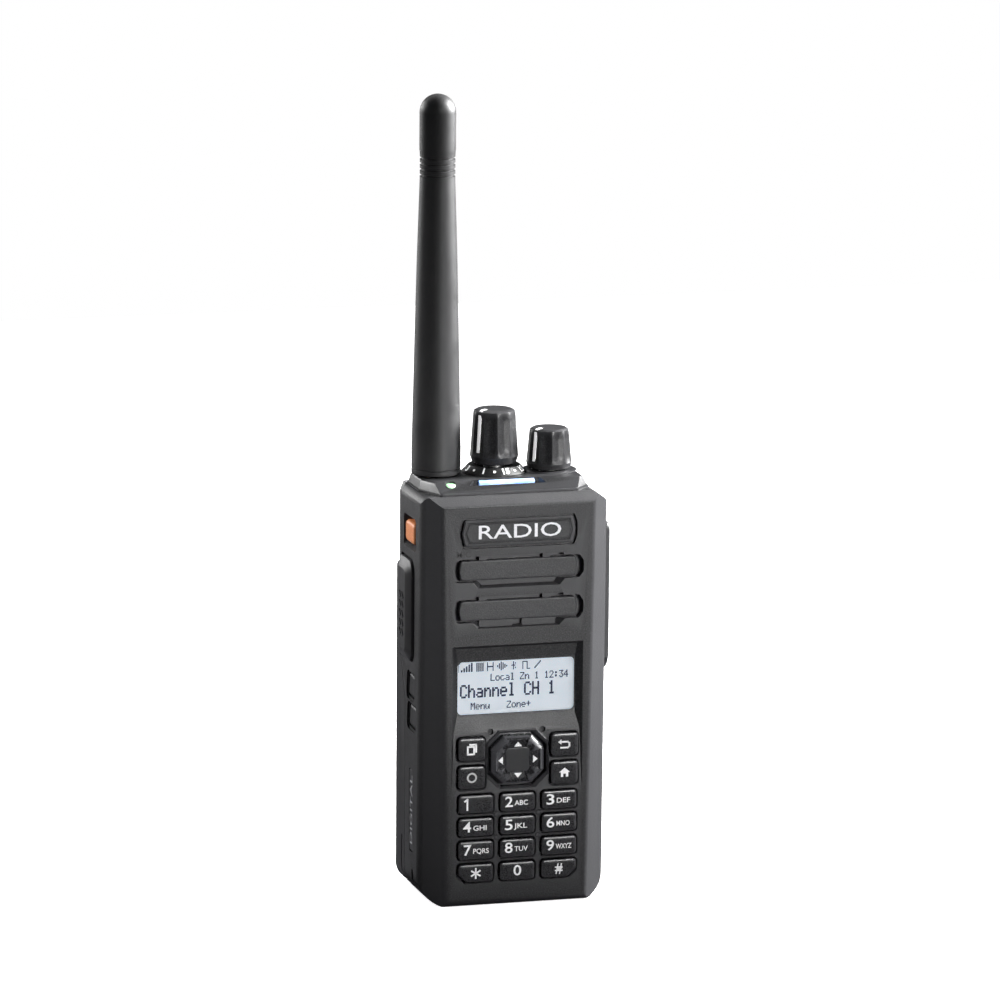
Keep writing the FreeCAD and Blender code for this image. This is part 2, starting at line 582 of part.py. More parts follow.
def speaker():
    """The speaker's frame and magnet, with the cone as a piece of its own."""
    front = f"({FACE_INNER} + grille_thick + gap)"
    at = ("0", "speaker_z")
    frame = rod("speaker_frame", "Y", "speaker_radius", at, front, f"{front} + speaker_deep")
    magnet = rod("speaker_magnet", "Y", "magnet_radius", at, f"{front} + speaker_deep",
                 f"{front} + speaker_deep + magnet_deep")
    dish = rod("speaker_dish", "Y", "cone_radius + running", at, f"{front} - 1",
               f"{front} + speaker_deep - 1")
    node("speaker", carve("speaker", join("speaker_solid", frame, magnet), dish))
    cone = doc.addObject("Part::Cone", "speaker_cone_sheet")
    cone.Placement = FreeCAD.Placement(Vector(), FreeCAD.Rotation(*TURNS["Y"]))
    bind(cone, Radius1="cone_radius", Radius2="cone_radius / 3", Height="speaker_deep - 1.4", x="0",
         z="speaker_z",
         y=f"{front} + 0.2")
    node("speaker_cone", cone)


def display():
    """The clear window behind the bezel and the display panel behind it."""
    outline = rect("-window_half - 0.9", "window_half + 0.9", "window_low - 0.9", "window_high + 0.9")
    node("display_window", prism("display_window", "XZ", outline, FACE_INNER,
                                 f"{FACE_INNER} + window_thick"))
    behind = f"({FACE_INNER} + window_thick)"
    panel = block("lcd_panel", ("-window_half - 0.6", "window_half + 0.6"),
                  (behind, f"{behind} + lcd_thick"),
                  ("window_low - 0.6", "window_high + 1.2"))
    node("lcd_panel", panel)


def keypad():
    """Sixteen keys, each with a flange that the case holds, and the mat and board behind them."""
    for name, mid, centre, wide, tall, cut_side in keys():
        cap = prism(f"{name}_cap", "XZ", key_outline(mid, centre, wide, tall, "0", cut_side),
                    f"{FACE} - key_proud", KEY_BACK, "key_corner", "key_crown")
        flange = block(f"{name}_flange",
                       (f"{mid} - ({wide}) / 2 - key_flange", f"{mid} + ({wide}) / 2 + key_flange"),
                       (f"{FACE_INNER} + snug", KEY_BACK),
                       (f"{centre} - ({tall}) / 2 - key_flange", f"{centre} + ({tall}) / 2 + key_flange"))
        node(name, join(name, cap, flange))
    mat = block("mat_sheet", ("-mat_half", "mat_half"), (MAT_FRONT, MAT_BACK),
                ("row_low - key_tall", "soft_high + soft_tall / 2 + 0.6"))
    node("keypad_mat", mat)
    board = block("keypad_board", ("-mat_half - 0.3", "mat_half + 0.3"), (MAT_BACK, BOARD_BACK),
                  ("row_low - key_tall - 0.3", "soft_high + soft_tall / 2 + 1"))
    node("keypad_board", board)


def nav_cluster():
    """The four way key, dished in the middle, rocking on a small cross."""
    centre_z = "((nav_low + nav_high) / 2)"
    back = f"({KEY_BACK}) - snug"
    cap = prism("nav_cap", "XZ", nav_outline("0"), f"{FACE} - nav_proud", back, None, "key_crown")
    dish = prism("nav_dish", "XZ", rect("column_mid - nav_dish", "column_mid + nav_dish",
                                        f"{centre_z} - nav_dish", f"{centre_z} + nav_dish"),
                 f"{FACE} - nav_proud - 1", f"{FACE} - nav_proud + nav_dish_deep", "key_corner")
    cross_y = f"({KEY_BACK} - 0.1)"
    socket = block("nav_socket", ("column_mid - 3.4", "column_mid + 3.4"),
                   (f"{cross_y} - pivot_radius - gap", "0"),
                   (f"{centre_z} - 3.4", f"{centre_z} + 3.4"))
    node("nav_key", carve("nav_key", cap, dish, socket))
    level_arm = rod("pivot_level", "X", "pivot_radius", (cross_y, centre_z), "column_mid - 2.8",
                    "column_mid + 2.8")
    upright = rod("pivot_upright", "Z", "pivot_radius", ("column_mid", cross_y), f"{centre_z} - 2.8",
                  f"{centre_z} + 2.8")
    node("nav_pivot", join("nav_pivot", level_arm, upright))


# ---- the left side's buttons -----------------------------------------------------------------

def left_buttons():
    """Each side button: a soft-edged cap and a flange that stops it from falling out."""
    flange_out = f"-({SIDE_INNER}) + snug"
    for name, (low, high, fore, aft, sink, _travel) in LEFT_BUTTONS.items():
        is_ptt = name == "ptt_button"
        stem_aft = "ptt_stem_aft" if is_ptt else aft
        flange_back = f"{flange_out} + flange_thick"
        cap_back = "pocket_deep - case_half - ptt_travel - snug" if is_ptt else flange_back
        cap = prism(f"{name}_cap", "YZ", rect(f"-({fore})", aft, low, high), f"({sink}) - case_half",
                    cap_back,
                    "0.9", "0.45", crown_low=True)
        stem = block(f"{name}_stem", (f"{cap_back} - 0.2" if is_ptt else f"({sink}) - case_half + 1",
                                      flange_back),
                     (f"-({fore}) + 0.4", f"({stem_aft}) - 0.4"), (f"{low} + 0.4", f"{high} - 0.4"))
        flange = block(f"{name}_flange", (flange_out, flange_back),
                       (f"-({fore}) - 2 * gap", f"({stem_aft}) + 2 * gap"),
                       (f"{low} - 2 * gap", f"{high} + 2 * gap"))
        node(name, join(name, cap, stem, flange))
    outline = [("-side_fore - 1.6", "side_lower_low - 1.6"),
               ("seam_low - plate_thick - 0.4", "side_lower_low - 1.6"),
               ("seam_low - plate_thick - 0.4", "seam_bend - 1"),
               ("seam_high - plate_thick - seal_thick - 1", "seam_bend + seam_rise"),
               ("seam_high - plate_thick - seal_thick - 1", "button_high + 1"),
               ("-side_fore - 1.6", "button_high + 1")]
    board = prism("side_switches", "YZ", outline, "-side_board_x", "side_board_thick - side_board_x")
    node("side_switches", board)


def accessory_port():
    """The contact block in the right wall, the cover over it and the cover's captive screw."""
    outline = rect("-cap_fore", "cap_aft", "cap_low", "cap_high")
    cover = prism("cap_cover", "YZ", outline, "case_half", "case_half + cap_thick", "2.4", "0.8")
    at = ("0 - cap_fore / 4", "cap_screw_z")
    screw_bore = rod("cap_bore", "X", "screw_radius + running", at, "case_half - 1",
                     "case_half + cap_thick + 1")
    screw_sink = rod("cap_sink", "X", "cap_screw_radius + running", at, "case_half + cap_thick - 1",
                     "case_half + 9")
    node("accessory_cap", carve("accessory_cap", cover, screw_bore, screw_sink))
    head = rod("cap_screw_head", "X", "cap_screw_radius", at, "case_half + cap_thick - 1",
               "case_half + cap_thick + 0.2")
    shank = rod("cap_screw_shank", "X", "screw_radius", at, "case_half - side_wall - 0.6",
                "case_half + cap_thick")
    slot = block("cap_screw_slot", ("case_half + cap_thick - 0.4", "case_half + 9"),
                 ("0 - cap_fore / 4 - 0.45", "0 - cap_fore / 4 + 0.45"),
                 ("cap_screw_z - 9", "cap_screw_z + 9"))
    node("accessory_screw", carve("accessory_screw", join("cap_screw_solid", head, shank), slot))
    contacts = block("accessory_contacts", ("case_half - side_wall - 1", "case_half - 0.6"),
                     ("-port_half", "port_half"),
                     ("port_low", "port_high"))
    node("accessory_contacts", contacts)


# ---- the top: panel, knobs and antenna -------------------------------------------------------

def top_panel():
    """The raised panel under the knobs, sloped at the front where the lamps sit."""
    plan = [("-panel_left", "-5"), ("4 - panel_left", "top_slope - case_front"),
            ("panel_right - 4.8", "top_slope - case_front"), ("panel_right", "-9.6"),
            ("panel_right", "seam_high - 1.4"), ("panel_right - 1.4", "seam_high"),
            ("1.4 - panel_left", "seam_high"), ("-panel_left", "seam_high - 1.4")]
    body = prism("panel_plan", "XY", plan, "case_top", PANEL_TOP)
    fore = "top_slope - case_front"
    side = [(f"{fore} - 1", "case_top - 1"), ("seam_high + 1", "case_top - 1"),
            ("seam_high + 1", f"{PANEL_TOP} - 0.5"),
            ("seam_high - 0.6", PANEL_TOP), (f"{fore} + panel_slope", PANEL_TOP),
            (fore, "case_top + panel_lip"),
            (f"{fore} - 1", "case_top + panel_lip")]
    profile = prism("panel_profile", "YZ", side, "-case_half", "case_half")
    upto = ("case_top - 1", f"{PANEL_TOP} + 1")
    cutters = [
        rod("panel_selector_bore", "Z", "nut_radius + gap", ("selector_x", "controls_y"), *upto),
        rod("panel_volume_bore", "Z", "nut_radius + gap", ("volume_x", "controls_y"), *upto),
        rod("panel_antenna_bore", "Z", "socket_radius + snug", ("antenna_x", "controls_y"), *upto),
        rod("panel_led_bore", "Z", "led_radius", ("led_x", "lamp_y"), *upto),
        block("panel_bar_slot", ("bar_left", "bar_right"),
              ("bar_y - bar_deep / 2", "bar_y + bar_deep / 2"), upto),
    ]
    node("top_panel", carve("top_panel", shared("panel_shape", body, profile), *cutters))
    led = rod("led_rod", "Z", "led_radius", ("led_x", "lamp_y"), "case_top", "case_top + panel_lip + 2.2")
    dome = doc.addObject("Part::Sphere", "led_dome")
    bind(dome, Radius="led_radius * 1.05", x="led_x", y="lamp_y", z="case_top + panel_lip + 1.15")
    node("indicator_lens", shared("indicator_lens", led, dome_base(dome)))
    lamp = block("lamp_blank", ("bar_left", "bar_right"), ("bar_y - bar_deep / 2", "bar_y + bar_deep / 2"),
                 ("case_top", PANEL_TOP))
    node("light_bar", shared("light_bar", lamp, profile))


def dome_base(dome):
    """The lamp's rounded top on a straight base."""
    base = rod("led_base", "Z", "led_radius * 1.05", ("led_x", "lamp_y"), "case_top",
               "case_top + panel_lip + 1.15")
    return join("led_blank", dome, base)


def knob(name, x, prefix):
    """A tapered knob with scallops round it and a blind bore for its shaft."""
    foot, flare, neck, top = (f"{prefix}_{part}" for part in ("foot", "flare", "neck", "top"))
    roof = f"{neck} - knob_roof"
    profile = [("shaft_radius", foot), (f"{prefix}_foot_radius", foot), (f"{prefix}_radius", flare),
               (f"{prefix}_neck_radius", neck), (f"{prefix}_top_radius", top), ("0", top), ("0", roof),
               ("shaft_radius", roof)]
    body = turned(name, x, "controls_y", profile)
    sketch = body.newObject("Sketcher::SketchObject", f"{name}_scallop")
    origin = next(item for item in body.Origin.OriginFeatures if item.Role == "XY_Plane")
    sketch.AttachmentSupport = [(origin, "")]
    sketch.MapMode = "FlatFace"
    sketch.setExpression("AttachmentOffset.Base.z", spell(f"{flare} + 1"))
    away = f"{prefix}_radius + scallop_radius - scallop_bite"
    sketch.addGeometry(Part.Circle(Vector(value(away), 0, 0), Vector(0, 0, 1), value("scallop_radius")),
                       False)
    for kind, spot, text in (("DistanceX", 3, away), ("DistanceY", 3, "0")):
        held = sketch.addConstraint(Sketcher.Constraint(kind, -1, 1, 0, spot, value(text)))
        sketch.setExpression(f"Constraints[{held}]", spell(text))
    held = sketch.addConstraint(Sketcher.Constraint("Radius", 0, value("scallop_radius")))
    sketch.setExpression(f"Constraints[{held}]", spell("scallop_radius"))
    bite = body.newObject("PartDesign::Pocket", f"{name}_bite")
    bite.Profile = sketch
    bite.Reversed = True
    bind(bite, Length=f"{top} - {flare}")
    ring = body.newObject("PartDesign::PolarPattern", f"{name}_scallops")
    ring.Originals = [bite]
    ring.Axis = (next(item for item in body.Origin.OriginFeatures if item.Role == "Z_Axis"), [""])
    ring.Angle = 360
    ring.Occurrences = 10
    body.Tip = ring
    return node(name, body)


def control(name, x, box_low, box_name):
    """A shaft with its electrical control below the top wall and the bush that clamps it."""
    at = (x, "controls_y")
    prefix = name.split("_")[0]
    shaft = rod(name, "Z", "shaft_radius", at, f"{box_low} + 1", f"{prefix}_neck - knob_roof")
    node(name, shaft)
    half = "control_box / 2"
    case = block(f"{box_name}_case", (f"{x} - {half}", f"{x} + {half}"),
                 (f"controls_y - {half}", f"controls_y + {half}"),
                 (box_low, CHAMBER_TOP))
    bush = rod(f"{box_name}_bush", "Z", "bush_radius", at, box_low, "case_top + nut_thick + 0.3")
    bore = rod(f"{box_name}_bore", "Z", "shaft_radius + running", at, f"{box_low} + 1 - running",
               "case_top + 9")
    node(box_name, carve(box_name, join(f"{box_name}_solid", case, bush), bore))
    nut = polygon_rod(f"{prefix}_nut_blank", 6, "nut_radius", at, "case_top", "case_top + nut_thick")
    hole = rod(f"{prefix}_nut_hole", "Z", "bush_radius", at, "case_top - 1", "case_top + nut_thick + 1")
    return carve(f"{prefix}_nut", nut, hole)


def top_controls():
    """Both knobs with their shafts, controls and nuts, and the dial round the selector."""
    nuts = doc.addObject("Part::Compound", "knob_nuts")
    nuts.Links = [control("selector_shaft", "selector_x", "selector_box_low", "selector_encoder"),
                  control("volume_shaft", "volume_x", "volume_box_low", "volume_control")]
    node("knob_nuts", nuts)
    knob("selector_knob", "selector_x", "selector")
    knob("volume_knob", "volume_x", "volume")
    dial = [("nut_radius + gap", PANEL_TOP), ("ring_radius", PANEL_TOP),
            ("ring_top_radius", f"{PANEL_TOP} + ring_rise"),
            ("nut_radius + gap", f"{PANEL_TOP} + ring_rise")]
    node("channel_ring", turned("channel_ring", "selector_x", "controls_y", dial))


def antenna():
    """The rubber whip with its ribs, the plug in its foot and the socket in the case."""
    right = [("0", "whip_foot"), ("whip_radius", "whip_foot"), ("whip_radius", "whip_groove_z - 0.4"),
             ("whip_radius - 0.35", "whip_groove_z"), ("whip_radius - 0.05", "whip_groove_z + 0.4"),
             ("whip_mid_radius", "whip_mid_z"), ("whip_high_radius", "whip_high_z")]
    for rib in range(4):
        at_z = f"whip_rib_z + {rib} * whip_rib_pitch"
        right += [("whip_rib_radius", f"{at_z} - 0.35"), ("whip_rib_radius - whip_rib_deep", at_z),
                  ("whip_rib_radius", f"{at_z} + 0.35")]
    right += [("whip_tip_radius", "whip_rib_z + 4 * whip_rib_pitch"), ("whip_tip_radius", "whip_tip_z"),
              ("0", "whip_tip_z")]
    body = turned("antenna_whip", "antenna_x", "controls_y", right)
    soften(body, body.Tip, "whip_tip_radius - 0.3",
           lambda edge: level(edge, Vector(0, 0, 1), value("whip_tip_z")))
    node("antenna_whip", body)
    at = ("antenna_x", "controls_y")
    node("antenna_plug", rod("antenna_plug", "Z", "plug_radius", at, "socket_foot + 1", "whip_foot"))
    barrel = rod("socket_barrel", "Z", "socket_radius", at, "socket_foot", f"{PANEL_TOP} - gap")
    bore = rod("socket_bore", "Z", "plug_radius + running", at, "socket_foot + 1 - snug", "whip_foot")
    node("antenna_socket", carve("antenna_socket", barrel, bore))


# ---- inside and at the base ------------------------------------------------------------------

def boards():
    """The main board with its two shield cans, and the microphone."""
    board = block("board_sheet", ("-board_half", "board_half"), ("-board_y", "1.2 - board_y"),
                  ("base_wall + 5.4", "selector_box_low - 1.5"))
    cans = [block(f"can_{index}", ("3 - board_half", "board_half - 3"), ("-board_y - 2.2", "-board_y"),
                  (f"base_wall + {low}", f"base_wall + {high}")) for index, (low, high) in
            enumerate(((9, 34), (38, 66)))]
    node("main_board", join("main_board", board, *cans))
    node("microphone", rod("microphone", "Y", "mic_radius", ("mic_x", "mic_z"), f"{FACE_INNER} + 1.8",
                           f"{FACE_INNER} + 3.4"))


def latch():
    """The battery's release latch and the catch that blocks it, in the case's base."""
    lever = block("latch_lever", ("-latch_half", "latch_half"), ("seam_low - latch_deep", "seam_low"),
                  ("0.4", "latch_tall + 0.4"))
    grip = block("latch_grip", ("-latch_half + 1", "latch_half - 1"),
                 ("seam_low - latch_deep + 1", "seam_low - 1.4"),
                 ("0", "1"))
    node("battery_latch", carve("battery_latch", lever, grip))
    slide = block("safety_catch", ("-catch_half", "catch_half"),
                  ("-latch_deep - latch_travel - 3.1", "-latch_deep - latch_travel"), ("0.3", "1.6"))
    node("safety_catch", slide)


def hinge_lugs(name, room):
    """The two round lugs on the battery's top edge that it swings on, grown by a clearance."""
    sides = (("left", "-lug_far", "-lug_near"), ("right", "lug_near", "lug_far"))
    return [rod(f"{name}_{side}", "X", f"lug_radius + {room}", ("lug_y", "pack_top + 0.1"),
                f"{low} - {room}", f"{high} + {room}") for side, low, high in sides]


def battery():
    """The pack: an outer tub, the lid on its front, two cells and four contacts."""
    fore = "(seam_low + gap)"
    fore_high = "(seam_high + gap)"
    plan = both_sides([("case_half", fore), ("case_half", "pack_back - pack_corner + 0.9"),
                       ("case_half - pack_corner", "pack_back")])
    body = prism("pack_plan", "XY", plan, "0", "pack_top", None)
    soften(body, body.Tip, "2.2", lambda edge: along(edge, Vector(0, 0, 1)) and edge.Vertexes[0].Point.y > 9)
    front_outline = rect("-case_half", "case_half", "0", "pack_top")
    face = prism("pack_silhouette", "XZ", front_outline, "0", "pack_back + 1")
    soften(face, face.Tip, "base_corner",
           lambda edge: along(edge, Vector(0, 1, 0)) and edge.Vertexes[0].Point.z < 1)
    side = [(fore, "0"), ("pack_back", "0"), ("pack_back", "pack_shoulder"), ("pack_bevel_y", "pack_top"),
            (fore_high, "pack_top"), (fore_high, "seam_bend + seam_rise"), (fore, "seam_bend")]
    profile = prism("pack_profile", "YZ", side, "-case_half - 1", "case_half + 1")
    soften(profile, profile.Tip, "1.6",
           lambda edge: along(edge, Vector(1, 0, 0)) and edge.Vertexes[0].Point.y > value("pack_back") - 0.1)
    blank = shared("pack_blank", body, face, profile)
    inner = "case_half - pack_wall"
    room = both_sides([(inner, f"{fore} - 1"), (inner, "pack_back - pack_corner - pack_wall / 2"),
                       ("case_half - pack_corner - pack_wall / 2", "pack_back - pack_wall")])
    mouth = prism("pack_mouth", "XY", room, "base_corner / 2", "seam_bend - 2")
    node("battery_case", join("battery_case", carve("battery_tub", blank, mouth),
                              *hinge_lugs("pack_lug", "0")))
    lid = block("lid_sheet", (f"-({inner})", inner), (fore, f"{fore} + lid_thick"),
                ("base_corner / 2", "seam_bend - 2"))
    seats = []
    pads = []
    for index in range(4):
        mid = f"{index - 1.5} * contact_pitch"
        spot = ((f"{mid} - 1.2", f"{mid} + 1.2"), (f"{fore} - 0.01", f"{fore} + 0.5"),
                ("contact_z - 3", "contact_z + 3"))
        seats.append(block(f"contact_seat_{index}", *spot))
        pads.append(block(f"contact_pad_{index}", spot[0], (fore, f"{fore} + 0.5"), spot[2]))
    node("battery_lid", carve("battery_lid", lid, *seats))
    terminals = doc.addObject("Part::Compound", "battery_terminals")
    terminals.Links = pads
    node("battery_terminals", terminals)
    cells = doc.addObject("Part::Compound", "battery_cells")
    cells.Links = [block(f"cell_{side_name}", pair,
                         (f"{fore} + lid_thick + gap", "pack_back - pack_wall - gap"),
                         ("base_corner / 2 + gap", "seam_bend - 2 - gap"))
                   for side_name, pair in (("left", ("pack_corner + 1.2 - case_half", "-gap")),
                                           ("right", ("gap", "case_half - pack_corner - 1.2")))]
    node("battery_cells", cells)


def check_document():
    """Stops if any object failed or any sub-part isn't a whole, valid solid."""
    for item in doc.Objects:
        if {"Invalid", "Error"} & set(item.State):
            raise RuntimeError(f"{item.Label} failed: {item.State}")
    for name, item in NODES.items():
        shape = item.Shape
        if shape.isNull() or not shape.isValid() or not shape.Solids:
            raise RuntimeError(f"{name} isn't a valid solid")


blank_shape = case_blank()
front_case(blank_shape)
rear_chassis(blank_shape)
chassis_screws()
case_seal()
name_plate()
speaker_grille()
speaker()
display()
keypad()
nav_cluster()
left_buttons()
accessory_port()
top_panel()
top_controls()
antenna()
boards()
latch()
battery()
doc.recompute()
check_document()

os.makedirs("parts", exist_ok=True)
for part_name, part in NODES.items():
    part.Shape.exportStep(f"parts/{part_name}.step")
print(len(NODES), "sub-parts written")
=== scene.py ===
import math

import bmesh
import bpy
from mathutils import Matrix, Vector


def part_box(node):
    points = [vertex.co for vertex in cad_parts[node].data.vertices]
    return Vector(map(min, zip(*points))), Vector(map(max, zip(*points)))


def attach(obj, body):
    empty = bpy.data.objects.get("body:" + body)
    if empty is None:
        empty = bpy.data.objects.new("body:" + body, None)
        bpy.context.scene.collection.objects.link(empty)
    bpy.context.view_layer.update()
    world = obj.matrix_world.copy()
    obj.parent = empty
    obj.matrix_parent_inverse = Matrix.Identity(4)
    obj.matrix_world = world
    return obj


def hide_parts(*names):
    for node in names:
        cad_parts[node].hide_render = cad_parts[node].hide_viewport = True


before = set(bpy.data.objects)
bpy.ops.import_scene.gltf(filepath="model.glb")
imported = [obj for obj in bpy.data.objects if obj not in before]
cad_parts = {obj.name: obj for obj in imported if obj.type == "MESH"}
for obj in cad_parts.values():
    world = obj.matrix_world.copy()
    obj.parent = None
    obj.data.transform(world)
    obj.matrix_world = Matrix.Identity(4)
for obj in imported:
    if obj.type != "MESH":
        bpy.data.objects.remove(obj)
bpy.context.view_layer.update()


# ---- front case ------------------------------------------------------------------------------
# The front shell is one moulding of charcoal polycarbonate with a fine spark-eroded grain. Its face
# is flat, with two planed facets that run into the sides, and everything else on the radio is
# screwed to it, pushed through it or trapped behind it.

MM = 0.001
CASE_SHADE, CASE_WORN, MATT_WORN = (0.0125, 0.0125, 0.0134), (0.034, 0.034, 0.036), (0.036, 0.036, 0.038)


def round_corners(points, radius, steps=5, only=None):
    """An outline with its corners turned into arcs; only picks corners by their index."""
    out = []
    count = len(points)
    for index, here in enumerate(points):
        if only is not None and index not in only:
            out.append(here)
            continue
        spot = Vector(here)
        back = Vector(points[index - 1]) - spot
        ahead = Vector(points[(index + 1) % count]) - spot
        half = back.angle(ahead) / 2
        reach = min(radius / math.tan(half), back.length * 0.49, ahead.length * 0.49)
        size = reach * math.tan(half)
        start, end = spot + back.normalized() * reach, spot + ahead.normalized() * reach
        middle = spot + (back.normalized() + ahead.normalized()).normalized() * (size / math.sin(half))
        first, sweep = start - middle, end - middle
        turn = first.angle_signed(sweep)
        for step in range(steps + 1):
            angle = -turn * step / steps
            arm = Vector((first.x * math.cos(angle) - first.y * math.sin(angle),
                          first.x * math.sin(angle) + first.y * math.cos(angle)))
            out.append(tuple(middle + arm))
    return out


def loft(rings):
    """A closed mesh through rings of equally many points, in millimetres, with flat ends."""
    mesh = bmesh.new()
    rows = [[mesh.verts.new(Vector(point) * MM) for point in ring] for ring in rings]
    count = len(rows[0])
    for low, high in zip(rows, rows[1:]):
        for index in range(count):
            after = (index + 1) % count
            mesh.faces.new((low[index], low[after], high[after], high[index]))
    mesh.faces.new(list(reversed(rows[0])))
    mesh.faces.new(rows[-1])
    bmesh.ops.recalc_face_normals(mesh, faces=mesh.faces)
    return mesh


def across(axis, place, outline):
    """Puts a flat outline in the plane across an axis: X takes (y, z), Y takes (x, z), Z takes (x, y)."""
    if axis == "X":
        return [(place, u, v) for u, v in outline]
    if axis == "Y":
        return [(u, place, v) for u, v in outline]
    return [(u, v, place) for u, v in outline]


def bar(axis, low, high, outline, high_outline=None):
    """A straight or tapered bar between two places on an axis."""
    return loft([across(axis, low, outline), across(axis, high, high_outline or outline)])


def box_outline(low_u, high_u, low_v, high_v):
    """A rectangle's corners."""
    return [(low_u, low_v), (high_u, low_v), (high_u, high_v), (low_u, high_v)]


def mirrored(right):
    """The outline whose right half runs upwards through these points."""
    return right + [(-x, v) for x, v in reversed(right)]


def terraced(axis, outline_at, steps):
    """A closed mesh through (place, growth) steps along an axis; outline_at turns growth into outline."""
    return loft([across(axis, place, outline_at(grow)) for place, grow in steps])


def node_outline(node, axis, grow=0.0, grow_v=None):
    """The rectangle that a CAD node fills across an axis, in millimetres, grown by a clearance."""
    low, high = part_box(node)
    u, v = {"X": (1, 2), "Y": (0, 2), "Z": (0, 1)}[axis]
    rise = grow if grow_v is None else grow_v
    return box_outline(low[u] / MM - grow, high[u] / MM + grow, low[v] / MM - rise, high[v] / MM + rise)


def as_object(mesh, name):
    """Turns a bmesh into an object in the scene."""
    data = bpy.data.meshes.new(name)
    mesh.to_mesh(data)
    mesh.free()
    piece = bpy.data.objects.new(name, data)
    bpy.context.scene.collection.objects.link(piece)
    return piece


def combine(base, others, operation):
    """The base object with the others cut away, added or shared, as new mesh data; others go."""
    for other in others:
        step = base.modifiers.new("step", "BOOLEAN")
        step.operation = operation
        step.solver = "EXACT"
        step.object = other
    return settle(base, others)


def settle(piece, spent=()):
    """Works a piece's modifiers into its mesh and clears away the helpers that they used."""
    graph = bpy.context.evaluated_depsgraph_get()
    fresh = bpy.data.meshes.new_from_object(piece.evaluated_get(graph))
    piece.modifiers.clear()
    old, piece.data = piece.data, fresh
    bpy.data.meshes.remove(old)
    for other in spent:
        data = other.data
        bpy.data.objects.remove(other)
        bpy.data.meshes.remove(data)
    return piece


def smooth(piece, angle=32):
    """Shades a piece smooth except across its sharp edges, with its flats kept flat."""
    for face in piece.data.polygons:
        face.use_smooth = True
    piece.data.set_sharp_from_angle(angle=math.radians(angle))
    weighted = piece.modifiers.new("flats", "WEIGHTED_NORMAL")
    weighted.keep_sharp = True
    return piece


def fit(piece, material, body, slot, *nodes):
    """Gives a piece its material and its body, and hides the CAD nodes that it stands for; slot, its finish,
    is not used.
    """
    piece.data.materials.clear()
    piece.data.materials.append(material)
    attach(piece, body)
    if nodes:
        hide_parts(*nodes)
    return piece


class Surface:
    """A node material under construction: a Principled shader with helpers that chain nodes."""

    def __init__(self, name):
        self.material = bpy.data.materials.new(name)
        self.material.use_nodes = True
        self.tree = self.material.node_tree
        self.shader = self.tree.nodes["Principled BSDF"]
        self.place = self.add("ShaderNodeTexCoord").outputs["Object"]

    def add(self, kind, **settings):
        node = self.tree.nodes.new(kind)
        for name, value in settings.items():
            setattr(node, name, value)
        return node

    def join(self, output, socket):
        self.tree.links.new(output, socket)

    def noise(self, size_mm, detail=3, roughness=0.55, stretch=(1, 1, 1)):
        """Noise whose lumps are about size_mm across."""
        mapping = self.add("ShaderNodeMapping")
        mapping.inputs["Scale"].default_value = stretch
        self.join(self.place, mapping.inputs["Vector"])
        noise = self.add("ShaderNodeTexNoise")
        noise.inputs["Scale"].default_value = 1 / (size_mm * MM)
        noise.inputs["Detail"].default_value = detail
        noise.inputs["Roughness"].default_value = roughness
        self.join(mapping.outputs[0], noise.inputs["Vector"])
        return noise.outputs["Fac"]

    def cells(self, size_mm):
        """Distance inside random cells about size_mm across."""
        voronoi = self.add("ShaderNodeTexVoronoi")
        voronoi.inputs["Scale"].default_value = 1 / (size_mm * MM)
        self.join(self.place, voronoi.inputs["Vector"])
        return voronoi.outputs["Distance"]

    def ramp(self, factor, *stops):
        """A colour ramp through (place, colour) stops; a plain number stands for a grey."""
        ramp = self.add("ShaderNodeValToRGB")
        while len(ramp.color_ramp.elements) < len(stops):
            ramp.color_ramp.elements.new(0.5)
        for element, (position, colour) in zip(ramp.color_ramp.elements, stops):
            element.position = position
            element.color = (*colour, 1) if isinstance(colour, tuple) else (colour, colour, colour, 1)
        self.join(factor, ramp.inputs[0])
        return ramp.outputs[0]

    def mix(self, factor, first, second):
        """Two colours mixed; each argument is an output or a plain value."""
        mix = self.add("ShaderNodeMix", data_type="RGBA")
        for socket, value in ((mix.inputs[0], factor), (mix.inputs[6], first), (mix.inputs[7], second)):
            if isinstance(value, bpy.types.NodeSocket):
                self.join(value, socket)
            elif socket.name == "Factor":
                socket.default_value = value
            else:
                socket.default_value = (*value, 1)
        return mix.outputs[2]

    def bump(self, height, strength, depth_mm):
        """A bump of the given depth."""
        bump = self.add("ShaderNodeBump")
        bump.inputs["Strength"].default_value = strength
        bump.inputs["Distance"].default_value = depth_mm * MM
        self.join(height, bump.inputs["Height"])
        return bump.outputs["Normal"]

    def edges(self, low=0.5, high=0.56):
        """White on a piece's outer edges, black on its flats."""
        point = self.add("ShaderNodeNewGeometry").outputs["Pointiness"]
        return self.ramp(point, (low, 0.0), (high, 1.0))

    def finish(self, colour=None, roughness=None, normal=None, fixed=()):
        """Connects or sets the shader's main sockets; fixed holds further (socket, value) pairs."""
        for value, socket in ((colour, "Base Color"), (roughness, "Roughness"), (normal, "Normal")):
            if isinstance(value, bpy.types.NodeSocket):
                self.join(value, self.shader.inputs[socket])
            elif value is not None:
                self.shader.inputs[socket].default_value = (*value, 1) if socket == "Base Color" else value
        for socket, value in fixed:
            self.shader.inputs[socket].default_value = value
        return self.material


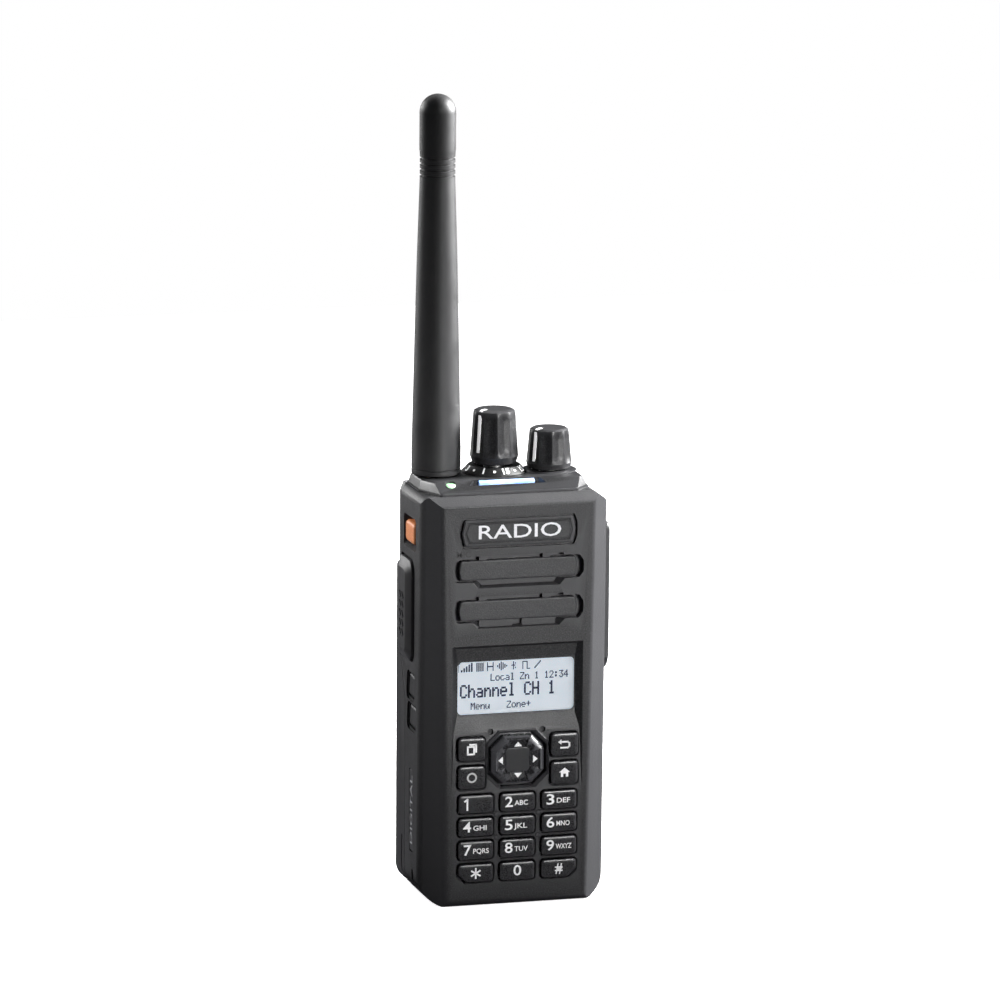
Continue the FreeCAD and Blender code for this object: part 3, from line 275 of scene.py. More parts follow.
def moulded_plastic(name, shade, worn, rough, grain_mm=0.4, grain_depth=0.08):
    """Textured black polycarbonate: eroded grain, faint flow clouds and edges rubbed a little shiny."""
    surface = Surface(name)
    grain = surface.noise(grain_mm, 2, 0.6)
    clouds = surface.noise(14, 2)
    edge = surface.edges()
    tint = surface.ramp(clouds, (0.3, tuple(0.9 * part for part in shade)), (0.7, shade))
    dark = tuple(0.3 * part for part in shade)
    speck = surface.ramp(grain, (0.36, dark), (0.5, shade), (0.66, worn))
    colour = surface.mix(0.75, tint, speck)
    colour = surface.mix(edge, colour, worn)
    base_rough = surface.ramp(grain, (0.35, rough - 0.07), (0.65, rough + 0.08))
    rubbed = surface.ramp(surface.noise(9, 3), (0.35, rough - 0.08), (0.65, rough + 0.02))
    roughness = surface.mix(0.5, base_rough, rubbed)
    normal = surface.bump(grain, 0.8, grain_depth)
    return surface.finish(colour, roughness, normal, [("IOR", 1.53), ("Specular IOR Level", 0.36)])


case_low, case_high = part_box("front_case")
CASE_HALF, FACE_Y, CASE_TOP = case_high.x / MM, case_low.y / MM, case_high.z / MM
FACE_TOP, TOP_SLOPE = CASE_TOP - 2.7, 3.0
FACE_HALF_LOW, FACE_HALF_HIGH = 20.8, 22.7
FACET_RISE = 5.4 / 6.1
WALL = 2.2


def plan_outline(face_half):
    """The case's plan at one height: flat face, facets blended into the sides, open-edged back."""
    side_y = FACE_Y + (CASE_HALF - face_half) * FACET_RISE
    outline = mirrored([(face_half, FACE_Y), (CASE_HALF, side_y), (CASE_HALF, 16)])
    return round_corners(round_corners(outline, 4.2, 7, only={1, 4}), 2.8, 6, only={0, 19})


def case_envelope(name, back_line):
    """The radio's outer solid, cut to its front and side outlines."""
    body = as_object(bar("Z", -1, CASE_TOP + 1, plan_outline(FACE_HALF_LOW), plan_outline(FACE_HALF_HIGH)),
                     name)
    front = round_corners([(-CASE_HALF, 0), (CASE_HALF, 0), (CASE_HALF, CASE_TOP - 3.6),
                           (CASE_HALF - 4.8, CASE_TOP), (1.5 - CASE_HALF, CASE_TOP),
                           (-CASE_HALF, CASE_TOP - 2.4)], 8, 8, only={0, 1})
    front = round_corners(front, 3.0, 5, only=set(range(18, 22)))
    side = [(FACE_Y, 0), *back_line, (FACE_Y + TOP_SLOPE, CASE_TOP), (FACE_Y, FACE_TOP)]
    side = round_corners(side, 1.3, 4, only={len(side) - 1})
    side = round_corners(side, 2.4, 5, only={0})
    cutters = [as_object(bar("Y", -30, 30, front), "front"), as_object(bar("X", -40, 40, side), "side")]
    return combine(body, cutters, "INTERSECT")


SEAM_LOW, SEAM_HIGH, SEAM_BEND, SEAM_RISE = 2.6, case_high.y / MM, 58.0, 14.0


def key_centres():
    """Each key's name with its front rectangle, taken from the CAD keys without their flanges."""
    places = {}
    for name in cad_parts:
        if name.startswith("key_"):
            low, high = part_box(name)
            places[name] = (low.x / MM + 0.6, high.x / MM - 0.6, low.z / MM + 0.6, high.z / MM - 0.6)
    return places


KEY_CUT, KEY_RADIUS = 2.4, 0.95


def key_shape(name, grow=0.0):
    """A key's outline, grown by a clearance; star and hash lose their outer lower corners."""
    low_x, high_x, low_z, high_z = KEYS[name]
    outline = box_outline(low_x - grow, high_x + grow, low_z - grow, high_z + grow)
    if name == "key_star":
        outline[0:1] = [(low_x - grow, low_z - grow + KEY_CUT), (low_x - grow + KEY_CUT, low_z - grow)]
    if name == "key_hash":
        outline[1:2] = [(high_x + grow - KEY_CUT, low_z - grow), (high_x + grow, low_z - grow + KEY_CUT)]
    return round_corners(outline, max(KEY_RADIUS + grow, 0.12), 4)


KEYS = key_centres()
nav_low, nav_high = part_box("nav_key")
NAV_X, NAV_Z = (nav_low.x + nav_high.x) / 2 / MM, (nav_low.z + nav_high.z) / 2 / MM
NAV_HALF, NAV_RISE = (nav_high.x - nav_low.x) / 2 / MM, (nav_high.z - nav_low.z) / 2 / MM


def octagon(wide, tall, cut):
    """An octagon about the four way key's middle."""
    right = [(wide - cut, -tall), (wide, cut - tall), (wide, tall - cut), (wide - cut, tall)]
    return [(NAV_X + x, NAV_Z + z) for x, z in mirrored(right)]


def nav_shape(grow):
    """The four way key's outline, grown by a clearance."""
    return octagon(NAV_HALF + grow, NAV_RISE + grow, 3.9)


SLOTS = {"upper": 99.55, "lower": 87.7}
SLOT_HALF, SLOT_RISE = 19.6, 3.45
BEZEL_HALF, BEZEL_TOP = 19.6, 77.4
WINDOW = (-17.5, 17.5, 56.8, 72.4)


def slot_cutters():
    """Each speaker slot, bowed at its ends, with its slit above and its scoop below."""
    cutters = []
    inside = FACE_Y + WALL + 0.5
    for middle in SLOTS.values():
        low, high = middle - SLOT_RISE, middle + SLOT_RISE
        ends = [(SLOT_HALF - 1.3, low), (SLOT_HALF - 0.1, middle - 1.6), (SLOT_HALF, middle),
                (SLOT_HALF - 0.1, middle + 1.6), (SLOT_HALF - 1.3, high)]
        outline = round_corners(mirrored(ends), 1.1, 4, only={0, 4, 5, 9})
        slit = [(-13.4, high - 1), (14.0, high - 1), (13.4, high + 0.75), (-12.8, high + 0.75)]
        cutters.append(bar("Y", FACE_Y - 1, inside, outline))
        cutters.append(bar("Y", FACE_Y - 1, inside, slit))
        scoop_face = [(-14.6, low + 1), (-12.0, low - 1.8), (12.4, low - 1.8), (15.0, low + 1)]
        scoop_back = [(-12.0, low + 1), (-10.2, low - 1.1), (10.8, low - 1.1), (12.6, low + 1)]
        cutters.append(bar("Y", FACE_Y - 0.01, inside, scoop_face, scoop_back))
    return cutters


BEZEL_PROFILE = [(BEZEL_TOP, 0.0), (BEZEL_TOP - 0.9, 1.3), (WINDOW[3] + 0.5, 1.75), (WINDOW[2] - 0.6, 1.75),
                 (51.6, 0.7), (33.0, 0.0)]


def sunk(z):
    """How far the field below the display lies behind the face at a height."""
    for (upper, deep), (lower, less) in zip(BEZEL_PROFILE, BEZEL_PROFILE[1:]):
        if lower <= z <= upper:
            return deep + (less - deep) * (upper - z) / (upper - lower)
    return 0.0


def bezel_cutter():
    """The sunk field round the display, which climbs back to the face between the function keys."""
    lean, above = 1.1, 0.6
    rim = BEZEL_HALF + lean * above
    rings = []
    for z, deep in BEZEL_PROFILE:
        half = BEZEL_HALF - lean * deep
        rings.append([(-rim, FACE_Y - above, z), (rim, FACE_Y - above, z), (half, FACE_Y + deep, z),
                      (-half, FACE_Y + deep, z)])
    return loft(rings)


def flared(outline_at, depth):
    """A cutter through the face whose mouth, at a depth, is chamfered."""
    mouth, flare = FACE_Y + depth, 0.28
    return terraced("Y", outline_at, [(mouth - 1.2, flare + 1.2), (mouth + flare, 0.0),
                                      (FACE_Y + WALL + 0.6, 0.0)])


def disc(middle_u, middle_v, radius, steps=20):
    """A circle's points."""
    return [(middle_u + radius * math.cos(math.tau * step / steps),
             middle_v + radius * math.sin(math.tau * step / steps)) for step in range(steps)]


KEY_GAP, NAV_GAP, SIDE_GAP = 0.36, 0.45, 0.35
SIDE_KEYS = {"side_key_upper": "side_upper", "side_key_lower": "side_lower"}


def front_openings():
    """Everything that goes through the face or is sunk in it."""
    cutters = [bezel_cutter(), *slot_cutters()]
    cutters.append(bar("Y", FACE_Y, FACE_Y + WALL + 0.6, round_corners(box_outline(*WINDOW), 1.4, 5)))
    for name, (low_x, high_x, low_z, high_z) in KEYS.items():
        cutters.append(flared(lambda grow: key_shape(name, KEY_GAP + grow), sunk((low_z + high_z) / 2)))
    cutters.append(flared(lambda grow: nav_shape(NAV_GAP + grow), 0.35))
    plate = mirrored([(16.6, 106.0), (17.5, 108.4), (17.6, 110.6), (17.5, 112.8), (16.6, 115.1)])
    cutters.append(bar("Y", FACE_Y - 1, FACE_Y + 1.05, round_corners(plate, 0.5, 3)))
    for side in (-1, 1):
        cutters.append(bar("Y", FACE_Y - 1, FACE_Y + 1.6, disc(side * 7.8, 51.7, 0.9)))
    return cutters


def side_openings():
    """The pockets in the left side and the socket in the right one."""
    out, into = -CASE_HALF - 1, -CASE_HALF + WALL + 0.8
    cutters = []
    talk = [(-6.9, 73.0), (-4.6, 70.6), (7.2, 70.6), (7.2, 101.0), (-4.6, 101.0), (-6.9, 98.6)]
    cutters.append(bar("X", out, 0.75 - CASE_HALF, round_corners(talk, 1.6, 5, only={0, 1, 4, 5})))
    cutters.append(bar("X", out, into, round_corners(node_outline("ptt_button", "X", SIDE_GAP), 3.0, 6)))
    alarm = round_corners(node_outline("side_button", "X", SIDE_GAP), 1.0, 4)
    low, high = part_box("side_button")
    rim = box_outline(low.y / MM - 1.6, high.y / MM + 1.3, low.z / MM - 1.3, high.z / MM + 1.2)
    cutters.append(bar("X", -CASE_HALF - 0.05, 1.6 - CASE_HALF, round_corners(rim, 1.0, 4), alarm))
    cutters.append(bar("X", out, into, alarm))
    for name in SIDE_KEYS:
        cutters.append(bar("X", out, into, side_key_shape(name, SIDE_GAP)))
        cutters.append(bar("X", out, 0.5 - CASE_HALF, side_key_shape(name, 1.0)))
    cutters.append(bar("X", out, 0.5 - CASE_HALF, round_corners(BADGE, 0.9, 5)))
    dimple = [(y - 6.0, 2.2 * z + 7.3) for y, z in disc(0, 0, 1.0)]
    cutters.append(bar("X", out, 0.7 - CASE_HALF, dimple))
    socket = node_outline("accessory_cap", "X", -0.9, -1.2)
    cutters.append(bar("X", CASE_HALF - 0.9, CASE_HALF + 1, round_corners(socket, 1.5, 5)))
    return cutters


def side_key_shape(name, grow):
    """A side key's leaning outline in (y, z)."""
    low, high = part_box(name)
    front, rear = low.y / MM - grow, high.y / MM + grow
    under, over = low.z / MM - grow, high.z / MM + grow
    lean = 1.0
    return round_corners([(front + lean, under), (rear, under + 0.3), (rear - lean, over),
                          (front, over - 0.3)], 0.9 + grow, 4)


BADGE = [(-6.6, 14.2), (-2.6, 14.2), (-2.1, 38.9), (-6.1, 38.9)]
case_black = moulded_plastic("case_black", CASE_SHADE, CASE_WORN, 0.46)
case = case_envelope("front_case_shell", [(SEAM_LOW, 0), (SEAM_LOW, SEAM_BEND),
                                          (SEAM_HIGH, SEAM_BEND + SEAM_RISE), (SEAM_HIGH, CASE_TOP)])
inner = mirrored([(FACE_HALF_LOW - 0.9, FACE_Y + WALL), (CASE_HALF - WALL, -9.9), (CASE_HALF - WALL, 20)])
hollow = as_object(bar("Z", 2.6, CASE_TOP - 3.3, inner), "hollow")
nav_rim = as_object(terraced("Y", nav_shape, [(FACE_Y + 1.4, 1.3), (FACE_Y + 0.25, 1.3),
                                              (FACE_Y - 0.05, 1.0)]), "rim")
stud_steps = [(FACE_Y + 1.2, 0.8), (FACE_Y - 0.1, 0.8), (FACE_Y - 0.32, 0.5)]
studs = [as_object(terraced("Y", lambda radius: disc(x, z, radius), stud_steps), "stud")
         for x in (-6.1, 6.4) for z in (20.5, 27.35)]
combine(case, [hollow], "DIFFERENCE")
openings = [as_object(mesh, "opening") for mesh in front_openings()]
bezel, others = openings[0], openings[1:]
combine(case, [bezel], "DIFFERENCE")
combine(case, [nav_rim], "UNION")
combine(case, others + [as_object(mesh, "opening") for mesh in side_openings()], "DIFFERENCE")
combine(case, studs, "UNION")
smooth(case, 24)
fit(case, case_black, "radio", "case_plastic", "front_case")


# ---- name plate ------------------------------------------------------------------------------
# A separately moulded badge pressed into a pocket above the speaker: a bevelled frame, a sunk line
# just inside it and a raised field that carries pale printed letters.

def merged(meshes):
    """Several closed meshes as one, left as separate shells."""
    whole = bmesh.new()
    for mesh in meshes:
        data = bpy.data.meshes.new("part")
        mesh.to_mesh(data)
        mesh.free()
        whole.from_mesh(data)
        bpy.data.meshes.remove(data)
    return whole


def plate_shape(grow):
    """The badge's outline with its slightly bowed ends."""
    half, low, high = 16.9 + grow, 106.7 - grow, 114.4 + grow
    outline = mirrored([(half - 0.9, low), (half, 110.6), (half - 0.9, high)])
    return round_corners(outline, 0.45, 3, only={0, 2, 3, 5})


def printed_ink(name, colour, glow=0.0):
    """Pad-printed ink: slightly uneven cover and a soft gloss."""
    surface = Surface(name)
    grain = surface.noise(0.3, 2)
    tint = surface.ramp(grain, (0.3, tuple(0.86 * part for part in colour)), (0.62, colour))
    normal = surface.bump(grain, 0.3, 0.004)
    roughness = surface.ramp(surface.noise(2.5), (0.3, 0.36), (0.7, 0.52))
    glowing = [("Emission Color", (*colour, 1)), ("Emission Strength", glow)]
    return surface.finish(tint, roughness, normal, glowing)


FORWARD = Matrix.Rotation(math.radians(90), 4, "X")
INK_THICK = 0.02


def lettering(name, words, place, size, ink, body, slot, facing=FORWARD, bold=0.0, align="CENTER",
              span=None):
    """Printed words as a thin solid at a place in millimetres, stretched to a span if one is given."""
    text = bpy.data.curves.new(name, "FONT")
    text.body, text.size = words, size * MM
    text.align_x, text.align_y = align, "CENTER"
    text.extrude, text.offset = INK_THICK * MM, bold * MM
    text.resolution_u = 3
    holder = bpy.data.objects.new(name + "_font", text)
    bpy.context.scene.collection.objects.link(holder)
    graph = bpy.context.evaluated_depsgraph_get()
    data = bpy.data.meshes.new_from_object(holder.evaluated_get(graph))
    bpy.data.objects.remove(holder)
    bpy.data.curves.remove(text)
    reach = [vertex.co.x for vertex in data.vertices]
    wide = span * MM / (max(reach) - min(reach)) if span else 1.0
    data.transform(Matrix.Translation(Vector(place) * MM) @ facing @ Matrix.Diagonal((wide, 1, 1, 1)))
    data.name = name
    piece = bpy.data.objects.new(name, data)
    bpy.context.scene.collection.objects.link(piece)
    return fit(piece, ink, body, slot)


badge_black = moulded_plastic("badge_black", (0.018, 0.018, 0.019), MATT_WORN, 0.42, 0.3, 0.008)
plate_steps = [(-17.0, 0), (-18.0, 0), (-18.2, -0.3), (-18.2, -0.75), (-18.0, -0.95), (-18.0, -1.2),
               (-18.15, -1.4)]
plate = as_object(terraced("Y", plate_shape, plate_steps), "name_badge")
fit(smooth(plate, 25), badge_black, "radio", "badge_plastic", "name_plate")
pale_print = printed_ink("pale_print", (0.72, 0.72, 0.74))
lettering("badge_letters", "RADIO", (0.2, -18.17, 110.5), 5.7, pale_print, "radio", "badge_plastic",
          bold=0.02, span=24.6)
dark_print = printed_ink("dark_print", (0.004, 0.004, 0.004))
lettering("mic_letters", "MIC", (-16.4, -18.0, 104.4), 2.6, dark_print, "radio", "case_plastic", bold=0.05)


# ---- speaker grille --------------------------------------------------------------------------
# A drop-in moulding behind the face: two broad bars float in the slots, tied by short ribs to the
# carrier that clamps the speaker and its dust cloth.

def bar_shape(middle, grow):
    """A grille bar's outline."""
    half, rise = 17.6 + grow, 2.9 + grow
    outline = mirrored([(half - 0.5, middle - rise), (half, middle), (half - 0.5, middle + rise)])
    return round_corners(outline, 0.7, 4, only={0, 2, 3, 5})


grille_parts = []
for middle in SLOTS.values():
    grille_parts.append(terraced("Y", lambda grow: bar_shape(middle, grow),
                                 [(-15.7, 0), (-17.6, 0), (-17.85, -0.22), (-17.9, -0.6)]))
    for at in (-11.6, 7.4):
        grille_parts.append(bar("Y", -17.3, -15.6, box_outline(at, at + 2.3, middle, middle + 4.1)))
for left, right in ((-11.4, -1.4), (1.4, 11.4)):
    tie = box_outline(left, right, SLOTS["lower"] - 5.0, SLOTS["lower"] - 3.0)
    grille_parts.append(bar("Y", -16.9, -15.6, round_corners(tie, 0.5, 3)))
carrier = round_corners(node_outline("speaker_grille", "Y"), 1.5, 4)
grille_parts.append(bar("Y", -15.72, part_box("speaker_grille")[1].y / MM, carrier))
grille = as_object(merged(grille_parts), "grille_bars")
grille_black = moulded_plastic("grille_black", (0.0135, 0.0135, 0.0144), MATT_WORN, 0.46)
fit(smooth(grille, 28), grille_black, "radio", "grille_plastic", "speaker_grille")


# ---- speaker ---------------------------------------------------------------------------------
# A round 32 mm speaker: a nickel-plated steel basket with a black impregnated cone, held by the
# grille's carrier.

def brushed_metal(name, colour, rough, grain_mm=0.5, stretch=(1, 1, 12), depth=0.006):
    """Bare or plated metal with fine drawn lines and stains."""
    surface = Surface(name)
    lines = surface.noise(grain_mm, 4, 0.6, stretch)
    stain = surface.noise(6, 3)
    tint = surface.ramp(stain, (0.3, tuple(0.75 * part for part in colour)), (0.7, colour))
    tint = surface.mix(surface.edges(0.51, 0.58), tint, tuple(min(1, 1.25 * part) for part in colour))
    roughness = surface.ramp(lines, (0.3, rough - 0.08), (0.7, rough + 0.12))
    normal = surface.bump(lines, 0.5, depth)
    return surface.finish(tint, roughness, normal, [("Metallic", 1.0)])


def soft_rubber(name, colour, rough, grain_mm=0.35, depth=0.02):
    """Matte rubber: shallow pores, a dusty bloom and rubbed high spots."""
    surface = Surface(name)
    pores = surface.noise(grain_mm, 3, 0.65)
    bloom = surface.noise(11, 3)
    tint = surface.ramp(bloom, (0.3, colour), (0.75, tuple(1.35 * part for part in colour)))
    tint = surface.mix(surface.edges(0.51, 0.6), tint, tuple(1.9 * part for part in colour))
    roughness = surface.ramp(surface.noise(5, 3), (0.3, rough - 0.07), (0.7, rough + 0.06))
    normal = surface.bump(pores, 0.5, depth)
    return surface.finish(tint, roughness, normal, [("IOR", 1.5)])


def dress(material, *names):
    """Gives CAD nodes their material and eases their edges by a hair."""
    for name in names:
        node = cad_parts[name]
        node.data.materials.clear()
        node.data.materials.append(material)
        ease = node.modifiers.new("eased", "BEVEL")
        ease.width, ease.segments = 0.08 * MM, 2
        ease.limit_method, ease.angle_limit = "ANGLE", math.radians(40)
        ease.use_clamp_overlap = True


dress(brushed_metal("nickel_steel", (0.55, 0.54, 0.51), 0.3), "speaker")
dress(soft_rubber("cone_paper", (0.012, 0.012, 0.013), 0.7, 0.25, 0.03), "speaker_cone")


# ---- display ---------------------------------------------------------------------------------
# A backlit monochrome liquid crystal: a glass cell with blue-white backlight and slate segments
# behind a clear hard-coated acrylic window glued to the inside of the case.

glow = Surface("lcd_backlight")
pixels = glow.cells(0.42)
haze = glow.noise(16, 2)
pale = glow.ramp(haze, (0.3, (0.66, 0.72, 0.78)), (0.7, (0.74, 0.79, 0.84)))
pale = glow.mix(glow.ramp(pixels, (0.0, 0.0), (0.9, 0.16)), pale, (0.45, 0.55, 0.66))
glow.join(pale, glow.shader.inputs["Emission Color"])
lcd_glass = glow.finish(pale, glow.ramp(haze, (0.3, 0.22), (0.7, 0.3)), glow.bump(pixels, 0.2, 0.003),
                        [("Emission Strength", 0.62)])
dress(lcd_glass, "lcd_panel")
pane_outline = round_corners(node_outline("display_window", "Y"), 1.2, 5)
pane = as_object(bar("Y", -15.75, -15.05, pane_outline), "display_pane")
clear = Surface("hard_coat_acrylic")
smears = clear.noise(7, 4, 0.6)
acrylic = clear.finish((1.0, 1.0, 1.0), clear.ramp(smears, (0.35, 0.02), (0.7, 0.07)),
                       clear.bump(smears, 0.1, 0.002), [("Transmission Weight", 1.0), ("IOR", 1.49)])
fit(smooth(pane), acrylic, "radio", "window_clear", "display_window")

SEGMENT_Y, PRINT_THICK = -14.84, 0.03
slate = printed_ink("lcd_slate", (0.035, 0.05, 0.11))


def blocks(name, boxes):
    """The display's dark rectangles as one piece."""
    mesh = merged([bar("Y", SEGMENT_Y, SEGMENT_Y + PRINT_THICK, box_outline(*box)) for box in boxes])
    return fit(as_object(mesh, name), slate, "radio", "lcd_glass")


GLYPHS = {"C": "0e11101010110e", "h": "10101619111111", "a": "00000e010f110f", "n": "00001619111111",
          "e": "00000e111f100e", "l": "0c04040404040e", "H": "1111111f111111", "1": "040c040404040e",
          "M": "111b1515111111", "u": "0000111113130d", "Z": "1f01020408101f", "o": "00000e1111110e",
          "+": "0004041f040400", "L": "1010101010101f", "c": "00000e1010110e", "2": "0e11010204081f",
          "3": "1f02040201110e", "4": "02060a121f0202", ":": "000c0c000c0c00", " ": "00000000000000"}


def dot_matrix(name, words, left, base, dot_wide, dot_tall):
    """Words in lit cells, five across and seven down to a letter, as one thin piece."""
    cells = []
    for place, letter in enumerate(words):
        for row in range(7):
            line = int(GLYPHS[letter][2 * row:2 * row + 2], 16)
            for column in range(5):
                if line >> (4 - column) & 1:
                    x = left + (6 * place + column) * dot_wide
                    z = base + (6 - row) * dot_tall
                    cells.append((x - 0.12 * dot_wide, x + dot_wide * 1.3, z, z + dot_tall))
    return blocks(name, cells)


bars = [(-16.2 + 0.75 * step, -15.7 + 0.75 * step, 69.2, 69.9 + 0.5 * step) for step in range(5)]
mast = [(-16.95, -16.75, 69.2, 71.9), (-17.25, -16.45, 71.6, 71.9)]
grid = [(-11.6 + 0.6 * step, -11.2 + 0.6 * step, 69.2, 71.8) for step in range(4)]
rails = [(-8.4, -8.1, 69.2, 71.8), (-6.7, -6.4, 69.2, 71.8), (-8.1, -6.7, 70.3, 70.7)]
pulse = [(-5.4 + 0.55 * step, -5.05 + 0.55 * step, 70.5 - rise, 70.5 + rise)
         for step, rise in enumerate((0.3, 0.8, 1.3, 1.0, 0.6, 0.25))]
wave = [(2.2, 2.5, 69.2, 71.6), (2.5, 3.5, 71.3, 71.6), (3.5, 3.8, 69.2, 71.6), (3.8, 4.6, 69.2, 69.5)]
tick = [(5.8 + 0.32 * step, 6.2 + 0.32 * step, 69.3 + 0.36 * step, 69.8 + 0.36 * step) for step in range(6)]
hand = [(-0.6, -0.3, 69.3, 71.7), (-1.1, 0.2, 70.4, 70.7), (0.0, 0.3, 70.9, 71.4), (0.0, 0.3, 69.6, 70.1)]
blocks("lcd_icons", bars + mast + grid + rails + pulse + wave + tick + hand)
dot_matrix("lcd_line_small", "Local Zn 1 12:34", -7.3, 66.2, 0.245, 0.31)
dot_matrix("lcd_line_large", "Channel CH 1", -16.4, 61.5, 0.4, 0.57)
dot_matrix("lcd_menu", "Menu", -13.2, 58.0, 0.245, 0.3)
dot_matrix("lcd_zone", "Zone+", -2.4, 58.0, 0.245, 0.3)


# ---- keypad ----------------------------------------------------------------------------------
# Sixteen hard satin key caps, each on its own spring dome of the silicone mat behind the face. The
# legends are translucent white, laser cut through the black paint.

key_black = moulded_plastic("key_black", (0.011, 0.011, 0.012), (0.04, 0.04, 0.042), 0.3, 0.28, 0.006)
legend_white = printed_ink("legend_white", (0.86, 0.86, 0.86), 0.12)
KEY_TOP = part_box("key_1")[0].y / MM
LEGEND_Y = KEY_TOP - 0.03


def key_cap(name):
    """One cap: a flange that stays behind the face, straight sides and a softly pillowed top."""
    steps = [(KEY_TOP + 3.8, 0.55), (KEY_TOP + 3.2, 0.55), (KEY_TOP + 3.2, 0.0), (KEY_TOP + 0.42, 0.0),
             (KEY_TOP + 0.2, -0.08), (KEY_TOP + 0.08, -0.26), (KEY_TOP + 0.02, -0.7), (KEY_TOP, -1.2)]
    cap = as_object(terraced("Y", lambda grow: key_shape(name, grow), steps), name + "_cap")
    return fit(smooth(cap, 35), key_black, name + "_body", "key_plastic", name)


for name in KEYS:
    key_cap(name)


def key_middle(name):
    """A key's middle in (x, z)."""
    low_x, high_x, low_z, high_z = KEYS[name]
    return (low_x + high_x) / 2, (low_z + high_z) / 2


LEGENDS = {"key_2": ("2", "ABC"), "key_3": ("3", "DEF"), "key_4": ("4", "GHI"),
           "key_5": ("5", "JKL"), "key_6": ("6", "MNO"), "key_7": ("7", "PQRS"), "key_8": ("8", "TUV"),
           "key_9": ("9", "WXYZ"), "key_0": ("0", ""), "key_hash": ("#", "")}
DIGIT_SPAN, LETTER_SPANS = 2.35, {3: 4.0, 4: 4.7}
for name, (digit, letters) in LEGENDS.items():
    low_x = KEYS[name][0]
    middle_x, middle_z = key_middle(name)
    digit_x = low_x + 2.55 if letters else middle_x
    lettering(name + "_digit", digit, (digit_x, LEGEND_Y, middle_z), 4.35, legend_white, name + "_body",
              "key_plastic", bold=0.05, span=DIGIT_SPAN)
    if letters:
        lettering(name + "_letters", letters, (low_x + 4.25, LEGEND_Y, middle_z - 0.3), 2.1, legend_white,
                  name + "_body", "key_plastic", bold=0.02, align="LEFT", span=LETTER_SPANS[len(letters)])


ICON_SCALE, ICON_LINE = 0.86, 0.5


def stroke(points, closed):
    """A thin raised line through (x, z) points, made of one prism per stretch."""
    parts = []
    ends = zip(points, points[1:] + points[:1]) if closed else zip(points, points[1:])
    for (x0, z0), (x1, z1) in ends:
        way = Vector((x1 - x0, z1 - z0)).normalized()
        side = Vector((-way.y, way.x)) * (ICON_LINE / 2)
        reach = way * (ICON_LINE / 2)
        outline = [(x0 - reach.x - side.x, z0 - reach.y - side.y),
                   (x1 + reach.x - side.x, z1 + reach.y - side.y),
                   (x1 + reach.x + side.x, z1 + reach.y + side.y),
                   (x0 - reach.x + side.x, z0 - reach.y + side.y)]
        parts.append(bar("Y", LEGEND_Y, LEGEND_Y + PRINT_THICK, outline))
    return parts


def key_icon(name, strokes, fills=()):
    """A symbol on a key, drawn about the key's middle with strokes and filled outlines."""
    middle_x, middle_z = key_middle(name)

    def moved(points):
        return [(ICON_SCALE * x + middle_x, ICON_SCALE * z + middle_z) for x, z in points]

    parts = []
    for points, closed in strokes:
        parts.extend(stroke(moved(points), closed))
    for points in fills:
        parts.append(bar("Y", LEGEND_Y, LEGEND_Y + PRINT_THICK, moved(points)))
    return fit(as_object(merged(parts), name + "_icon"), legend_white, name + "_body", "key_plastic")


spokes = []
for degrees in (90, 30, -30):
    x, z = 1.6 * math.cos(math.radians(degrees)), 1.6 * math.sin(math.radians(degrees))
    spokes.append(([(-x, -z), (x, z)], False))
key_icon("key_star", spokes)
key_icon("key_1", [([(-3.9, 1.2), (-3.1, 1.8), (-3.1, -1.75)], False)])
key_icon("key_circle", [(disc(0, 0, 1.45, 24), True)])
key_icon("key_menu", [([(-1.5, -1.6), (0.7, -1.6), (0.7, 1.0), (-1.5, 1.0)], True),
                      ([(-0.7, 1.7), (1.4, 1.7), (1.4, -0.8)], False)])
hook = [(-1.6, 0.9), (1.0, 0.9), (1.6, 0.4), (1.6, -0.6), (1.0, -1.1), (-1.3, -1.1)]
key_icon("key_back", [(hook, False)], [[(-2.4, 0.9), (-1.2, 1.8), (-1.2, 0.0)]])
key_icon("key_home", [], [[(-1.9, 0.1), (0, 1.7), (1.9, 0.1)],
                          [(-1.3, 0.1), (-1.3, -1.5), (-0.45, -1.5), (-0.45, 0.1)],
                          [(0.45, 0.1), (0.45, -1.5), (1.3, -1.5), (1.3, 0.1)],
                          [(-0.46, 0.1), (-0.46, -0.4), (0.46, -0.4), (0.46, 0.1)]])


# ---- four way key ----------------------------------------------------------------------------
# A faceted octagonal rocker on a ball pivot. Its four arms carry moulded-in arrows round a dished
# centre with a duller square pad.

